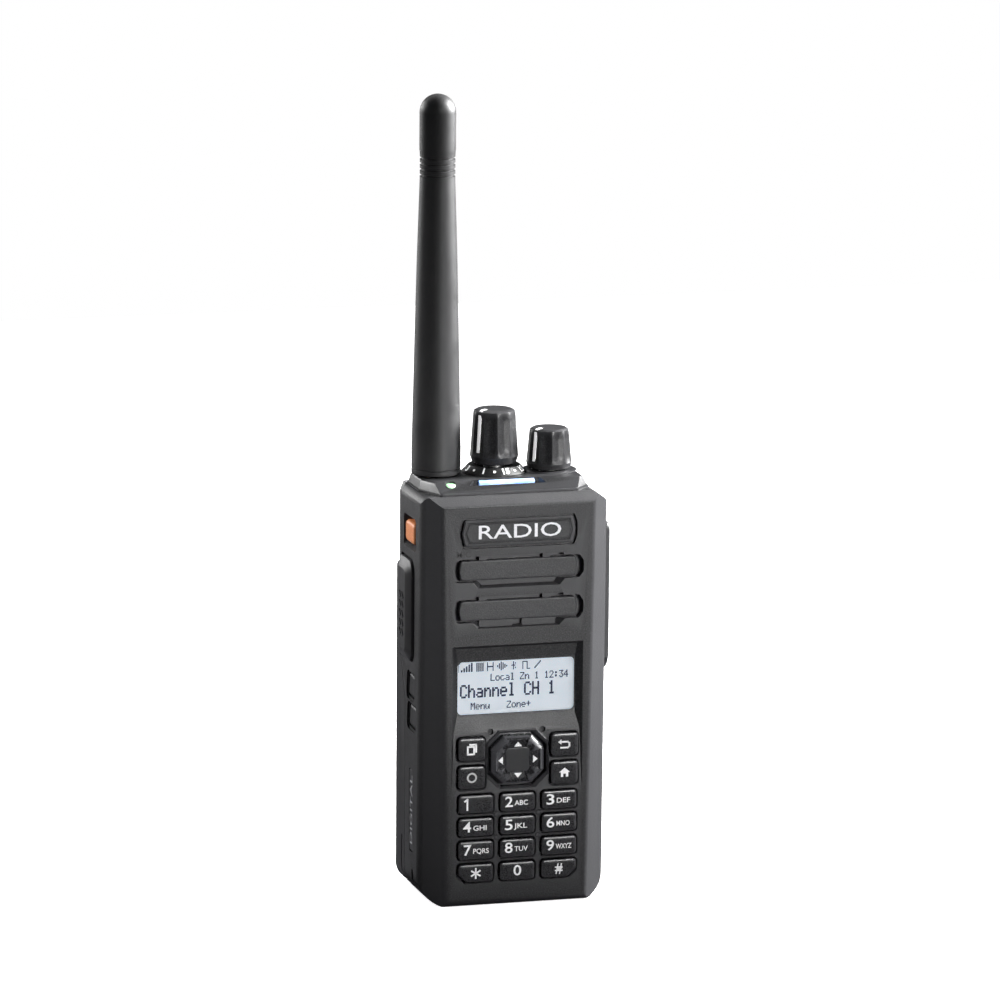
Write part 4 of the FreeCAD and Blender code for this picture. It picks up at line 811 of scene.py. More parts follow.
NAV_TOP = nav_low.y / MM
nav_steps = [(NAV_TOP + 4.0, (8.3, 7.45, 3.9)), (NAV_TOP + 3.5, (8.3, 7.45, 3.9)),
             (NAV_TOP + 3.45, (7.9, 7.05, 3.7)), (NAV_TOP + 1.3, (7.9, 7.05, 3.7)),
             (NAV_TOP + 0.9, (7.6, 6.75, 3.6)), (NAV_TOP + 0.15, (6.5, 5.9, 2.9)),
             (NAV_TOP, (6.2, 5.6, 2.8))]
rocker = as_object(terraced("Y", lambda sizes: octagon(*sizes), nav_steps), "nav_rocker_cap")
dish_steps = [(NAV_TOP - 0.5, (5.3, 5.0, 0.4)), (NAV_TOP, (4.8, 4.5, 0.4)),
              (NAV_TOP + 0.95, (3.6, 3.4, 0.4))]
hollows = [terraced("Y", lambda sizes: octagon(*sizes), dish_steps)]
for turn in range(4):
    reach = 6.1 if turn % 2 else 5.5
    rings = []
    for out, half, deep in ((2.6, 1.9, 0.95), (reach, 2.9, 0.7), (reach + 0.8, 3.1, 0.0)):
        flat = [(-half, NAV_TOP - 0.5), (half, NAV_TOP - 0.5), (half, NAV_TOP + deep),
                (-half, NAV_TOP + deep)]
        angle = turn * math.pi / 2
        rings.append([(NAV_X + u * math.cos(angle) - out * math.sin(angle), y,
                       NAV_Z + u * math.sin(angle) + out * math.cos(angle)) for u, y in flat])
    hollows.append(loft(rings))
combine(rocker, [as_object(mesh, "hollow") for mesh in hollows], "DIFFERENCE")
nav_black = moulded_plastic("nav_black", (0.012, 0.012, 0.013), (0.06, 0.06, 0.065), 0.26, 0.3, 0.006)
fit(smooth(rocker, 20), nav_black, "nav", "key_plastic", "nav_key")
pad_steps = [(NAV_TOP + 1.3, 3.45), (NAV_TOP + 0.88, 3.45), (NAV_TOP + 0.82, 3.3)]
centre = as_object(terraced("Y", lambda wide: round_corners(octagon(wide, wide, 0.6), 0.2, 2), pad_steps),
                   "nav_centre_pad")
nav_grey = moulded_plastic("nav_grey", (0.009, 0.009, 0.0095), (0.03, 0.03, 0.032), 0.34, 0.25, 0.006)
fit(smooth(centre), nav_grey, "nav", "key_plastic")
arrows = []
for across_x, up_z in ((0, 1), (0, -1), (-1, 0), (1, 0)):
    tip = (NAV_X + across_x * 5.9, NAV_Z + up_z * 5.3)
    foot = (tip[0] - across_x * 1.35, tip[1] - up_z * 1.35)
    wing = (up_z * 1.1, across_x * 1.1)
    head = [tip, (foot[0] + wing[0], foot[1] + wing[1]), (foot[0] - wing[0], foot[1] - wing[1])]
    arrows.append(bar("Y", NAV_TOP + 0.55, NAV_TOP + 1.2, head))
fit(as_object(merged(arrows), "nav_arrows"), legend_white, "nav", "key_plastic")
dress(moulded_plastic("pivot_plastic", (0.02, 0.02, 0.02), (0.06, 0.06, 0.06), 0.4), "nav_pivot")
dress(soft_rubber("mat_silicone", (0.03, 0.03, 0.032), 0.6), "keypad_mat")


# ---- side buttons ----------------------------------------------------------------------------
# The talk button is a rubber skin over a stiff paddle with rows of small raised chevrons for the
# thumb. Above it sits the orange alarm button, below it two leaning programmable keys.

side_rubber = soft_rubber("side_rubber", (0.018, 0.018, 0.019), 0.42, 0.3, 0.014)
talk_low, talk_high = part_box("ptt_button")
TALK_X = talk_low.x / MM


def talk_shape(grow):
    """The talk button's outline in (y, z), with its two big front corners."""
    outline = node_outline("ptt_button", "X", grow)
    outline = round_corners(outline, max(3.4 + grow * 0.7, 0.4), 6, only={0, 3})
    return round_corners(outline, max(1.6 + grow * 0.4, 0.3), 4, only={7, 8})


paddle = terraced("X", talk_shape, [(TALK_X + 3.6, 0), (TALK_X + 1.9, 0), (TALK_X + 1.5, -0.2),
                                    (TALK_X + 1.2, -0.7), (TALK_X + 0.3, -2.6), (TALK_X + 0.22, -3.2)])
bumps = []
for row in range(5):
    for pair in (0.0, 2.6):
        y, z = pair - 2.2, 78.4 + row * 2.75
        chevron = [(y, z), (y + 1.5, z - 0.75), (y + 1.9, z - 0.3), (y + 0.9, z + 0.5), (y + 1.9, z + 1.3),
                   (y + 1.5, z + 1.75)]
        bumps.append(bar("X", TALK_X + 0.5, TALK_X, [(v, w - 0.2) for v, w in chevron],
                         [(v * 0.9 + 0.1 * (y + 0.9), w * 0.9 + 0.1 * (z + 0.5) - 0.2) for v, w in chevron]))
stem_high = talk_high.x / MM
stem_outline = box_outline(-5.4, 4.3, talk_low.z / MM + 0.5, talk_high.z / MM - 0.5)
stem = bar("X", TALK_X + 2.5, stem_high, stem_outline)
talk = as_object(merged([paddle, stem, *bumps]), "talk_paddle")
fit(smooth(talk, 30), side_rubber, "ptt", "ptt_rubber", "ptt_button")

orange = moulded_plastic("alarm_orange", (0.95, 0.27, 0.07), (1.0, 0.42, 0.2), 0.4, 0.3, 0.006)


def alarm_shape(grow):
    """The alarm button's outline in (y, z)."""
    return round_corners(node_outline("side_button", "X", grow - 0.6), max(1.3 + grow, 0.3), 6)


ALARM_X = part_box("side_button")[0].x / MM
alarm_steps = [(stem_high, 0.5), (stem_high - 0.7, 0.5), (stem_high - 0.7, 0.2), (ALARM_X + 0.9, 0.2),
               (ALARM_X + 0.35, -0.05), (ALARM_X + 0.1, -0.4), (ALARM_X, -0.95)]
alarm = as_object(terraced("X", alarm_shape, alarm_steps), "alarm_cap")
fit(smooth(alarm, 35), orange, "emergency", "orange_plastic", "side_button")

for name, body in SIDE_KEYS.items():
    front_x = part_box(name)[0].x / MM
    steps = [(stem_high, 0.5), (stem_high - 0.7, 0.5), (stem_high - 0.7, 0), (front_x + 0.6, 0),
             (front_x + 0.2, -0.2), (front_x + 0.05, -0.55), (front_x, -0.85)]
    side_key = as_object(terraced("X", lambda grow: side_key_shape(name, grow), steps), name + "_cap")
    fit(smooth(side_key, 35), side_rubber, body, "side_key_rubber", name)
upper_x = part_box("side_key_upper")[0].x / MM
dot = as_object(bar("X", upper_x - 0.02, upper_x + 0.2, disc(-3.6, 64.2, 0.42, 16)), "side_key_dot")
fit(dot, dark_print, "side_upper", "side_key_rubber")


def strip_shape(grow):
    """The side strip's outline, a growth larger than its pocket."""
    outline = [(y * (1 + grow * 0.06), z + (grow if z > 20 else -grow)) for y, z in BADGE]
    return round_corners(outline, 0.8, 5)


strip_steps = [(0.45 - CASE_HALF, -0.3), (0.2 - CASE_HALF, -0.3), (0.1 - CASE_HALF, -0.5)]
strip = as_object(terraced("X", strip_shape, strip_steps), "side_strip")
fit(smooth(strip), badge_black, "radio", "badge_plastic")
UP_THE_LEFT = Matrix(((0, 0, -1, 0), (0, 1, 0, 0), (1, 0, 0, 0), (0, 0, 0, 1)))
lettering("side_letters", "DIGITAL", (0.07 - CASE_HALF, -4.35, 26.6), 3.3, pale_print, "radio",
          "badge_plastic", facing=UP_THE_LEFT, span=20.5)


# ---- accessory cover -------------------------------------------------------------------------
# The accessory socket on the right is shut by a thick cover with softened shoulders, held by a
# captive screw that turns with a coin.

cap_low, cap_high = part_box("accessory_cap")


def cap_shape(grow):
    """The cover's outline in (y, z): rounded above, chamfered below."""
    front, rear, foot = cap_low.y / MM, cap_high.y / MM, cap_low.z / MM - grow
    roof = cap_high.z / MM + grow
    outline = [(front - grow, foot + 3.2), (front + 2.6, foot), (rear - 2.6, foot),
               (rear + grow, foot + 3.2), (rear + grow, roof), (front - grow, roof)]
    return round_corners(outline, 1.8, 5)


CAP_X = cap_high.x / MM
cover_steps = [(CASE_HALF + 0.02, 0), (CAP_X - 1.0, 0), (CAP_X - 0.4, -0.25), (CAP_X - 0.08, -0.9),
               (CAP_X, -1.7)]
cover = as_object(terraced("X", cap_shape, cover_steps), "socket_cover")
screw_low, screw_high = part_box("accessory_screw")
SCREW_Y, SCREW_Z = (screw_low.y + screw_high.y) / 2 / MM, (screw_low.z + screw_high.z) / 2 / MM
sink = as_object(bar("X", CAP_X - 1.3, CAP_X + 1, disc(SCREW_Y, SCREW_Z, 3.3, 40)), "sink")
bore = as_object(bar("X", CASE_HALF - 1, CAP_X + 1, disc(SCREW_Y, SCREW_Z, 1.8, 32)), "bore")
grip_outline = round_corners(box_outline(-5.5, 2.0, 92.0, 104.0), 1.2, 5)
grip = as_object(bar("X", CAP_X - 0.5, CAP_X + 1, grip_outline), "grip")
combine(cover, [sink, bore, grip], "DIFFERENCE")
ribs = []
for z in (93.4, 95.2, 97.0, 98.8, 100.6, 102.2):
    rib = round_corners(box_outline(-4.6, 1.1, z, z + 0.8), 0.3, 3)
    ribs.append(bar("X", CAP_X - 0.7, CAP_X - 0.12, rib))
cap_black = moulded_plastic("cover_black", CASE_SHADE, CASE_WORN, 0.48)
fit(smooth(cover, 28), cap_black, "port_cover", "cap_plastic", "accessory_cap")
fit(smooth(as_object(merged(ribs), "cover_ribs")), cap_black, "port_cover", "cap_plastic")
dress(brushed_metal("black_steel", (0.06, 0.06, 0.062), 0.36), "accessory_screw", "chassis_screws")
gold = brushed_metal("gold_plate", (0.78, 0.55, 0.22), 0.25, 0.3, (1, 1, 1), 0.003)
dress(gold, "accessory_contacts", "battery_terminals")


# ---- top panel -------------------------------------------------------------------------------
# A satin fascia snapped on top of the case. Its front slopes down past the indicator lens and a
# long light bar that share one light guide.

panel_low, panel_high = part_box("top_panel")
PANEL_FOOT, PANEL_ROOF = panel_low.z / MM, panel_high.z / MM


def panel_plan(step):
    """The fascia's plan, drawn in by a step."""
    right = [(18.6 - 1.6 * step, -15.0 + step), (23.2 - 1.6 * step, -9.6 + step),
             (23.2 - 1.6 * step, 8.6 - step)]
    left = [(-26.4 + step, 8.6 - step), (-26.4 + step, -5.0 + step * 0.6), (-22.4 + step, -15.0 + step)]
    return round_corners(right + left, 1.0, 3)


panel_steps = [(PANEL_FOOT, 0), (PANEL_FOOT + 0.35, 0), (PANEL_FOOT + 0.6, 0.3), (PANEL_ROOF - 0.7, 0.8),
               (PANEL_ROOF - 0.2, 1.05), (PANEL_ROOF, 1.5)]
fascia = as_object(terraced("Z", panel_plan, panel_steps), "fascia")
slope_side = [(-20, PANEL_FOOT + 0.5), (-15.2, PANEL_FOOT + 0.5), (-13.9, PANEL_FOOT + 0.75),
              (-9.8, PANEL_ROOF + 0.02), (-9.8, 140), (-20, 140)]
LENS_X, LAMP_Y = -18.4, -10.7
RING_X, CONTROLS_Y, VOLUME_X, WHIP_X = -1.9, 2.0, 14.6, -19.3
BUSH_HOLE = 5.5
bay = [(-13.0, -11.6), (10.0, -11.6), (8.2, -9.3), (-11.2, -9.3)]
holes = [node_outline("light_bar", "Z"), disc(LENS_X, LAMP_Y, 1.52, 28),
         disc(RING_X, CONTROLS_Y, BUSH_HOLE, 40), disc(VOLUME_X, CONTROLS_Y, BUSH_HOLE, 40),
         disc(WHIP_X, CONTROLS_Y, 4.25, 40)]
cut_here = [bar("X", -40, 40, slope_side), bar("Z", 121.9, 130, bay)]
cut_here += [bar("Z", 118, 130, hole) for hole in holes]
combine(fascia, [as_object(mesh, "cut") for mesh in cut_here], "DIFFERENCE")
fascia_black = moulded_plastic("fascia_black", (0.012, 0.012, 0.0127), (0.03, 0.03, 0.032), 0.36, 0.28, 0.01)
fit(smooth(fascia, 24), fascia_black, "radio", "panel_plastic", "top_panel")


def lit_lens(name, colour, rim, strength):
    """A frosted light guide that glows unevenly from the lamp under it."""
    surface = Surface(name)
    frost = surface.noise(0.5, 3)
    spread = surface.noise(4.5, 2)
    tint = surface.ramp(spread, (0.25, rim), (0.7, colour))
    surface.join(tint, surface.shader.inputs["Emission Color"])
    return surface.finish(tint, surface.ramp(frost, (0.3, 0.2), (0.7, 0.36)), surface.bump(frost, 0.3, 0.01),
                          [("Emission Strength", strength)])


dress(lit_lens("green_lens", (0.62, 0.95, 0.62), (0.25, 0.62, 0.3), 0.75), "indicator_lens")
dress(lit_lens("ice_bar", (0.55, 0.74, 1.0), (0.22, 0.42, 0.95), 0.85), "light_bar")


# ---- control knobs ---------------------------------------------------------------------------
# The selector has a printed sixteen-place dial under it. Both knobs are moulded with shallow flutes
# for gloved fingers, pushed onto steel shafts, and the selector carries a painted pointer.

def turned(axis_x, axis_y, profile, steps=96, flute=None):
    """A solid turned about an upright axis; flute(angle, z) gives what is taken off the radius."""
    rings = []
    for radius, z in profile:
        ring = []
        for step in range(steps):
            angle = math.tau * step / steps
            reach = radius - (flute(angle, z) if flute else 0.0)
            ring.append((axis_x + reach * math.cos(angle), axis_y + reach * math.sin(angle), z))
        rings.append(ring)
    return loft(rings)


def bored(name, axis_x, solid, radius, low, high):
    """A turned solid with a round bore up its axis."""
    piece = as_object(solid, name)
    bore = as_object(turned(axis_x, CONTROLS_Y, [(radius, low), (radius, high)], 48), "bore")
    return combine(piece, [bore], "DIFFERENCE")


dial_profile = [(9.35, 124.3), (9.35, 124.75), (9.15, 124.95), (7.6, 126.5), (7.4, 126.6)]
dial = bored("dial_ring", RING_X, turned(RING_X, CONTROLS_Y, dial_profile), BUSH_HOLE, 120, 130)
dial_black = moulded_plastic("dial_black", (0.006, 0.006, 0.006), (0.02, 0.02, 0.02), 0.42)
fit(smooth(dial, 25), dial_black, "radio", "ring_plastic", "channel_ring")
# The dial's printed numbers and dots and both knobs' pointer lines glow a little. This is painted light that
# keeps the white print bright, though no lamp lies under it.
dial_white_painted_glow = printed_ink("dial_white_painted_glow", (0.92, 0.92, 0.92), 0.35)
FIRST_PLACE, DIAL_SLOPE = math.radians(233), math.radians(45)
dots = []
for place in range(16):
    angle = FIRST_PLACE - place * math.tau / 16
    out = Vector((math.cos(angle), math.sin(angle), 0))
    along_ring = Vector((-math.sin(angle), math.cos(angle), 0))
    raised = (Vector((0, 0, math.cos(DIAL_SLOPE))) + out * math.sin(DIAL_SLOPE)).normalized()
    climb = raised.cross(along_ring)
    spot = Vector((RING_X, CONTROLS_Y, 125.78)) + out * 8.32 + raised * 0.01
    frame_turn = Matrix((along_ring, climb, raised)).transposed().to_4x4()
    if place % 2 == 0:
        lettering(f"dial_{place + 1}", str(place + 1), spot, 2.7, dial_white_painted_glow, "radio", "ring_plastic",
                  facing=frame_turn, bold=0.09)
    else:
        rings = [[spot + along_ring * u + climb * v + raised * lift for u, v in disc(0, 0, 0.42, 12)]
                 for lift in (-0.05, 0.015)]
        dots.append(loft(rings))
fit(as_object(merged(dots), "dial_dots"), dial_white_painted_glow, "radio", "ring_plastic")

knob_black = moulded_plastic("knob_black", (0.013, 0.013, 0.0138), MATT_WORN, 0.38, 0.3, 0.03)


def flats(count, foot, neck, radius, start):
    """Slightly hollow flats round a knob, which fade out at its foot and head."""
    def taken(angle, z):
        part = (z - foot) / (neck - foot)
        if not 0 <= part <= 1:
            return 0.0
        fade = min(1.0, 7 * part, 7 * (1 - part))
        wedge = math.pi / count
        off = (angle - start + wedge) % (2 * wedge) - wedge
        hollow = 0.22 * math.cos(off / wedge * math.pi / 2) ** 2
        return fade * (radius * (1 - math.cos(wedge) / math.cos(off)) + hollow)
    return taken


def knob(name, axis_x, profile, node, body):
    """A knob with ten flats and a blind bore for its shaft; one flat faces the pointer."""
    stops = []
    for (r0, z0), (r1, z1) in zip(profile, profile[1:]):
        pieces = max(1, round((z1 - z0) / 0.9))
        stops += [(r0 + (r1 - r0) * step / pieces, z0 + (z1 - z0) * step / pieces) for step in range(pieces)]
    stops.append(profile[-1])
    foot, neck = profile[2][1], profile[-3][1]
    grip = turned(axis_x, CONTROLS_Y, stops, 160, flats(10, foot, neck, profile[3][0], POINTER))
    piece = bored(name, axis_x, grip, SHAFT_HOLE, 100, neck - 2.5)
    return fit(smooth(piece, 24), knob_black, body, "knob_plastic", node)


def pointer(name, axis_x, stops, body):
    """A painted line in a groove down a knob's side, from its rim to its foot."""
    out = Vector((math.cos(POINTER), math.sin(POINTER), 0))
    side = Vector((-math.sin(POINTER), math.cos(POINTER), 0)) * 0.5
    rings = []
    for radius, z in stops:
        outer = Vector((axis_x, CONTROLS_Y, z)) + out * radius
        inner = outer - out * 0.5 - Vector((0, 0, 0.3))
        rings.append([outer - side, outer + side, inner + side, inner - side])
    # The pointer line uses the dial's glowing white ink, which is painted light.
    return fit(as_object(loft(rings), name), dial_white_painted_glow, body, "knob_plastic")


POINTER = math.radians(209)
SHAFT_HOLE = 3.05
knob("selector_grip", RING_X,
     [(5.9, 127.1), (6.4, 127.4), (7.05, 129.4), (7.0, 130.2), (6.2, 141.6), (5.9, 142.4), (5.2, 142.8),
      (4.2, 142.95)], "selector_knob", "selector")
knob("volume_grip", VOLUME_X,
     [(6.0, 124.95), (6.3, 125.2), (6.6, 126.6), (6.55, 127.4), (5.8, 135.4), (5.5, 136.2), (4.9, 136.6),
      (4.0, 136.75)], "volume_knob", "volume")
pointer("selector_pointer", RING_X,
        [(6.75, 129.3), (6.62, 130.4), (6.0, 140.6), (5.92, 142.0), (5.5, 142.8), (4.6, 143.0),
         (3.4, 143.03)], "selector")
pointer("volume_pointer", VOLUME_X,
        [(6.3, 126.6), (6.27, 127.4), (5.62, 134.4), (5.52, 135.8), (5.12, 136.6), (4.2, 136.8),
         (3.2, 136.83)], "volume")
collar_profile = [(8.0, 124.25), (8.0, 124.35), (7.7, 124.5), (6.9, 124.7)]
collar = bored("volume_collar", VOLUME_X, turned(VOLUME_X, CONTROLS_Y, collar_profile), BUSH_HOLE, 120, 130)
fit(smooth(collar, 25), fascia_black, "radio", "ring_plastic")
dress(brushed_metal("plain_steel", (0.5, 0.5, 0.49), 0.3), "selector_shaft", "volume_shaft", "knob_nuts")


# ---- antenna ---------------------------------------------------------------------------------
# A helical whip sleeved in moulded rubber: a fat foot with one groove, a long taper, four grip
# grooves under a rounded head, and a brass stud that screws into the socket.

def whip_profile():
    """The whip's radii and heights from foot to tip."""
    points = [(6.6, 124.7), (7.0, 124.85), (7.1, 125.1), (7.1, 126.1), (6.85, 126.25), (6.85, 126.5),
              (7.1, 126.65), (7.1, 132.0), (6.4, 163.5), (5.85, 187.0), (5.12, 210.1)]
    for index in range(4):
        low = 211.2 + 1.65 * index
        points += [(5.1, low), (4.72, low + 0.15), (4.7, low + 0.55), (5.1, low + 0.75)]
    head, shoulder = 5.25, 229.65
    points += [(5.15, 218.3), (head, 218.9), (head, shoulder)]
    for step in range(1, 9):
        angle = math.pi / 2 * step / 9
        points.append((head * math.cos(angle), shoulder + head * math.sin(angle)))
    points.append((0.4, 234.9))
    return points


whip = as_object(turned(WHIP_X, CONTROLS_Y, whip_profile(), 64), "whip_sleeve")
whip_rubber = soft_rubber("whip_rubber", (0.016, 0.016, 0.0165), 0.5, 0.45, 0.02)
fit(smooth(whip, 28), whip_rubber, "antenna", "antenna_rubber", "antenna_whip")
dress(brushed_metal("turned_brass", (0.62, 0.46, 0.2), 0.28, 0.3, (1, 1, 8)), "antenna_plug",
      "antenna_socket")


# ---- chassis ---------------------------------------------------------------------------------
# Behind the boards runs a bent die-cast magnesium plate, painted matt black where it shows above the
# battery. It draws the case shut on a rubber seal with four machine screws.

cast_black = moulded_plastic("cast_black", (0.012, 0.012, 0.0125), (0.16, 0.16, 0.165), 0.52, 0.5, 0.05)
dress(cast_black, "rear_chassis")
dress(soft_rubber("seal_rubber_grey", (0.03, 0.03, 0.032), 0.6), "case_seal")


# ---- latch -----------------------------------------------------------------------------------
# The pack is let go by a sprung lever in the base, blocked by a small sliding catch. Both are glossy
# acetal, ribbed for a fingernail.

latch_black = moulded_plastic("latch_black", (0.014, 0.014, 0.0145), (0.05, 0.05, 0.052), 0.3, 0.3, 0.01)
dress(latch_black, "battery_latch", "safety_catch")


# ---- battery pack ----------------------------------------------------------------------------
# A welded tub of the case's own plastic closed by a lid, with two flat lithium cells inside and four
# gold contacts near its foot. It hooks in at the top and swings shut against the latch.

PACK_BACK, PACK_TOP, PACK_FORE = 18.0, 97.8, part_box("battery_case")[0].y / MM


def pack_plan():
    """The pack's plan with its rounded rear corners."""
    outline = mirrored([(CASE_HALF, PACK_FORE), (CASE_HALF, PACK_BACK - 4.5), (CASE_HALF - 5.4, PACK_BACK)])
    return round_corners(round_corners(outline, 3.2, 6, only={2, 3}), 2.4, 5, only={1, 16})


fore_high = SEAM_HIGH + PACK_FORE - SEAM_LOW
pack = as_object(bar("Z", 0, PACK_TOP, pack_plan()), "battery_tub")
foot = round_corners(box_outline(-CASE_HALF, CASE_HALF, 0, PACK_TOP), 8, 8, only={0, 1})
foot = round_corners(foot, 1.2, 3, only={18, 19})
profile = [(PACK_FORE, 0), (PACK_BACK, 0), (PACK_BACK, 89.5), (11.3, PACK_TOP), (fore_high, PACK_TOP),
           (fore_high, SEAM_BEND + SEAM_RISE), (PACK_FORE, SEAM_BEND)]
profile = round_corners(round_corners(profile, 2.0, 4, only={2, 3}), 1.6, 4, only={1})
outlines = [as_object(bar("Y", 0, 30, foot), "foot"), as_object(bar("X", -40, 40, profile), "profile")]
combine(pack, outlines, "INTERSECT")
lugs = [as_object(bar("X", side * 16 - 2, side * 16 + 2, disc(12.0, PACK_TOP + 0.1, 1.0, 28)), "lug")
        for side in (-1, 1)]
combine(pack, lugs, "UNION")
room = round_corners(box_outline(1.7 - CASE_HALF, CASE_HALF - 1.7, 1.2, 56.0), 1.0, 4)
deep_room = round_corners(box_outline(-21.6, 21.6, 1.2, 56.0), 1.0, 4)
cuts = [as_object(bar("Y", 0, 13.2, room), "room"), as_object(bar("Y", 13.1, 16.3, deep_room), "deep_room")]
line = box_outline(5.6, 6.4, 2.3, 17.0)
for side in (-1, 1):
    cuts.append(as_object(bar("X", side * (CASE_HALF - 0.4), side * (CASE_HALF + 1), line), "line"))
    for index in range(5):
        z = 84.0 - 1.9 * index
        finger = round_corners(box_outline(13.0, 17.0, z, z + 0.8), 0.3, 2)
        cuts.append(as_object(bar("X", side * (CASE_HALF - 1.1), side * (CASE_HALF + 1), finger), "finger"))
label = round_corners(box_outline(-19, 19, 14, 62), 1.6, 5)
cuts.append(as_object(bar("Y", PACK_BACK - 0.25, PACK_BACK + 1, label), "label_seat"))
combine(pack, cuts, "DIFFERENCE")
pack_black = moulded_plastic("pack_black", (0.014, 0.014, 0.015), MATT_WORN, 0.48, 0.32, 0.03)
fit(smooth(pack, 26), pack_black, "battery", "pack_plastic", "battery_case")
dress(pack_black, "battery_lid")

sticker_outline = round_corners(box_outline(-18.6, 18.6, 14.4, 61.6), 1.3, 5)
sticker = as_object(bar("Y", PACK_BACK - 0.24, PACK_BACK - 0.08, sticker_outline), "pack_label")
fit(sticker, printed_ink("label_grey", (0.05, 0.05, 0.052)), "battery", "pack_plastic")
BACKWARD = Matrix.Rotation(math.radians(180), 4, "Z") @ FORWARD
for row, (words, size) in enumerate((("LI-ION BATTERY PACK", 3.4), ("7.4 V   2600 mAh   19 Wh", 2.8),
                                     ("RECYCLE. DO NOT BURN OR CRUSH.", 2.0))):
    lettering(f"pack_words_{row}", words, (0, PACK_BACK - 0.06, 54.0 - 6.2 * row), size, pale_print,
              "battery", "pack_plastic", facing=BACKWARD)


# ---- inner parts -----------------------------------------------------------------------------
# Inside are a green main board with two shield cans, the keypad and side boards, an encoder, a
# volume control, a foam-ringed microphone and the pack's shrink-wrapped cells.

def board_mask(name, mask, copper):
    """Solder mask over copper pours and traces."""
    surface = Surface(name)
    pours = surface.cells(3.1)
    weave = surface.noise(0.6, 4, 0.6)
    tint = surface.ramp(pours, (0.3, mask), (0.42, copper))
    normal = surface.bump(weave, 0.3, 0.02)
    return surface.finish(tint, surface.ramp(weave, (0.3, 0.28), (0.7, 0.42)), normal,
                          [("Coat Weight", 0.3)])


green_mask = board_mask("green_mask", (0.004, 0.08, 0.03), (0.01, 0.13, 0.05))
dress(green_mask, "main_board", "keypad_board", "side_switches")
dress(brushed_metal("mic_can", (0.5, 0.5, 0.5), 0.3), "microphone")
dress(moulded_plastic("control_black", (0.02, 0.02, 0.022), (0.07, 0.07, 0.072), 0.42), "selector_encoder",
      "volume_control")
dress(moulded_plastic("cell_wrap", (0.01, 0.07, 0.22), (0.05, 0.16, 0.35), 0.3, 0.6, 0.02), "battery_cells")


# ---- studio ----------------------------------------------------------------------------------
# The radio stands on its flat foot on a pale sheet. Soft boxes and wide spots light it; the sheet and
# the air look white to the camera and throw little light of their own.

def shown_and_thrown(tree, shown, thrown, output):
    """The camera sees one shader while every other ray meets another."""
    rays = tree.nodes.new("ShaderNodeLightPath")
    chosen = tree.nodes.new("ShaderNodeMixShader")
    tree.links.new(rays.outputs["Is Camera Ray"], chosen.inputs[0])
    tree.links.new(thrown.outputs[0], chosen.inputs[1])
    tree.links.new(shown.outputs[0], chosen.inputs[2])
    tree.links.new(chosen.outputs[0], tree.nodes[output].inputs["Surface"])


FLOOR_HALF = 0.98
sheet = bmesh.new()
corners = box_outline(-FLOOR_HALF, FLOOR_HALF, -FLOOR_HALF, FLOOR_HALF)
sheet.faces.new([sheet.verts.new((x, y, 0.0)) for x, y in corners])
floor = as_object(sheet, "floor")
floor_paint = bpy.data.materials.new("floor_paint")
floor_paint.use_nodes = True
paint = floor_paint.node_tree.nodes["Principled BSDF"]
for socket, value in (("Base Color", (0.86, 0.86, 0.86, 1)), ("Roughness", 0.8), ("Specular IOR Level", 0.1),
                      ("Emission Color", (1, 1, 1, 1)), ("Emission Strength", 0.93)):
    paint.inputs[socket].default_value = value
shade = floor_paint.node_tree.nodes.new("ShaderNodeBsdfDiffuse")
shade.inputs["Color"].default_value = (0.06, 0.06, 0.065, 1)
shown_and_thrown(floor_paint.node_tree, paint, shade, "Material Output")
floor.data.materials.append(floor_paint)


def light(name, kind, place, target, power):
    """A light that looks at a target and isn't seen by the camera; gives its data."""
    data = bpy.data.lights.new(name, kind)
    data.energy = power
    lamp = bpy.data.objects.new(name, data)
    lamp.location = place
    lamp.rotation_euler = (Vector(target) - Vector(place)).to_track_quat("-Z", "Y").to_euler()
    lamp.visible_camera = False
    bpy.context.scene.collection.objects.link(lamp)
    return data


def soft_box(name, place, target, width, height, power):
    """A rectangular area light."""
    data = light(name, "AREA", place, target, power)
    data.shape = "RECTANGLE"
    data.size, data.size_y = width, height


def spot(name, place, target, degrees, power, size):
    """A wide-sourced spot light that fades towards its rim."""
    data = light(name, "SPOT", place, target, power)
    data.spot_size, data.spot_blend, data.shadow_soft_size = math.radians(degrees), 1.0, size


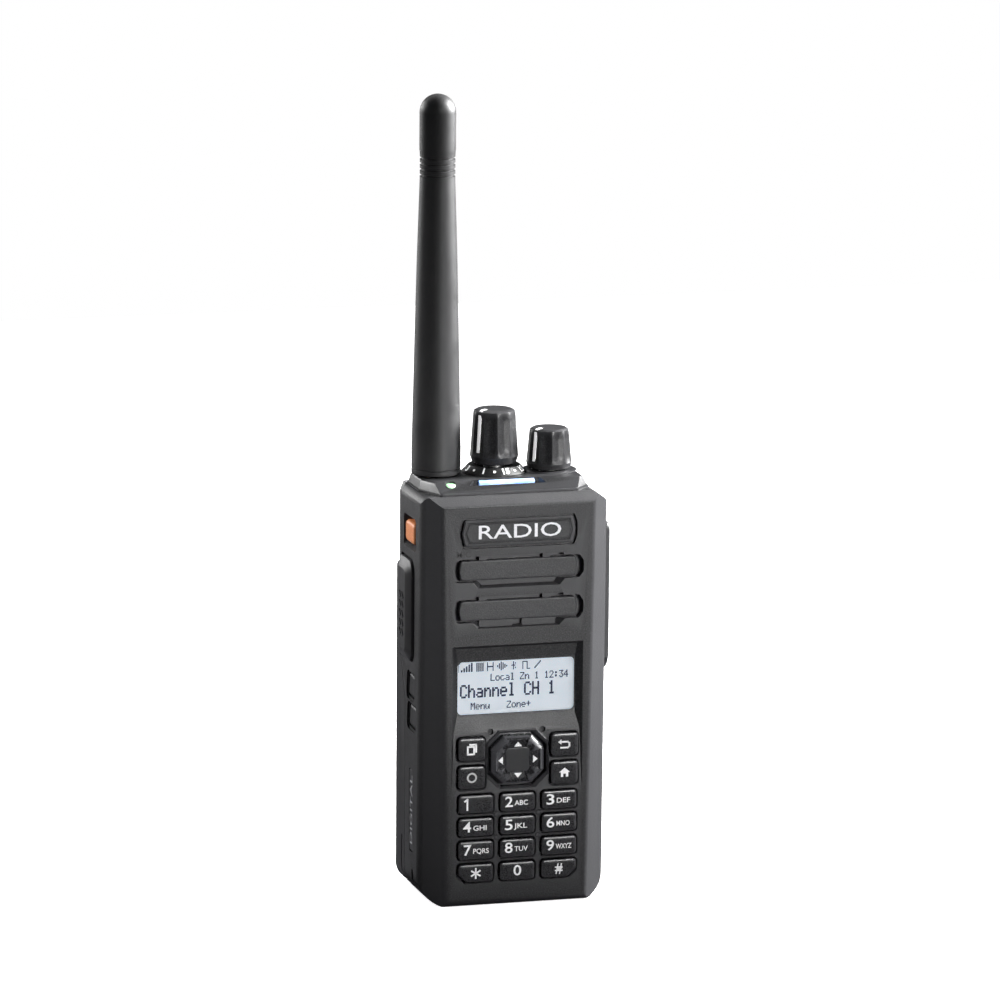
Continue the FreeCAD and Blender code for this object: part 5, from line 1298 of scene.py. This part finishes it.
spot("front_spot", (0.28, -0.80, 0.25), (0.0, -0.02, 0.094), 13.6, 48, 0.09)
soft_box("front_fill", (0.4, -1.05, 0.5), (0, 0, 0.12), 0.5, 0.5, 0.3)
soft_box("right_box", (0.50, 0.03, 0.42), (0, 0, 0.15), 0.22, 0.3, 27)
soft_box("left_box", (-0.55, 0.85, 0.35), (0, 0, 0.1), 0.3, 0.7, 3)
spot("left_spot", (-0.6, 0.3, 0.34), (-0.03, 0.0, 0.12), 16, 16, 0.08)
spot("whip_left", (-0.45, 0.75, 0.35), (-0.019, 0, 0.215), 12, 28, 0.1)
spot("whip_front", (0.15, -0.8, 0.5), (-0.019, 0, 0.185), 12, 6, 0.08)
soft_box("floor_box", (-0.2, 1.3, 1.6), (0, 0.2, 0), 1.6, 1.2, 6)

world = bpy.data.worlds.new("studio_air")
world.use_nodes = True
air = world.node_tree
white = air.nodes["Background"]
dim = air.nodes.new("ShaderNodeBackground")
for glow, colour, strength in ((white, (1, 1, 1, 1), 1.0), (dim, (0.9, 0.93, 1.0, 1), 0.05)):
    glow.inputs["Color"].default_value, glow.inputs["Strength"].default_value = colour, strength
shown_and_thrown(air, white, dim, "World Output")
bpy.context.scene.world = world
bpy.context.scene.view_settings.view_transform = "Standard"

AZIMUTH, ELEVATION, ROLL = math.radians(-15.849), math.radians(12.051), math.radians(0.4275)
back = Vector((math.sin(AZIMUTH) * math.cos(ELEVATION), -math.cos(AZIMUTH) * math.cos(ELEVATION),
               math.sin(ELEVATION)))
right = Vector((math.cos(AZIMUTH), math.sin(AZIMUTH), 0))
up = back.cross(right)
camera_right = math.cos(ROLL) * right + math.sin(ROLL) * up
camera_up = math.cos(ROLL) * up - math.sin(ROLL) * right
lens = bpy.data.cameras.new("camera")
lens.lens, lens.sensor_width = 252, 36
lens.shift_x, lens.shift_y = -0.0013, 0.0885
lens.clip_end = 50
camera = bpy.data.objects.new("camera", lens)
facing = Matrix((camera_right, camera_up, back)).transposed().to_4x4()
camera.matrix_world = Matrix.Translation(Vector((0, 0, 0.09)) + back * 2.03) @ facing
bpy.context.scene.collection.objects.link(camera)
bpy.context.scene.camera = camera
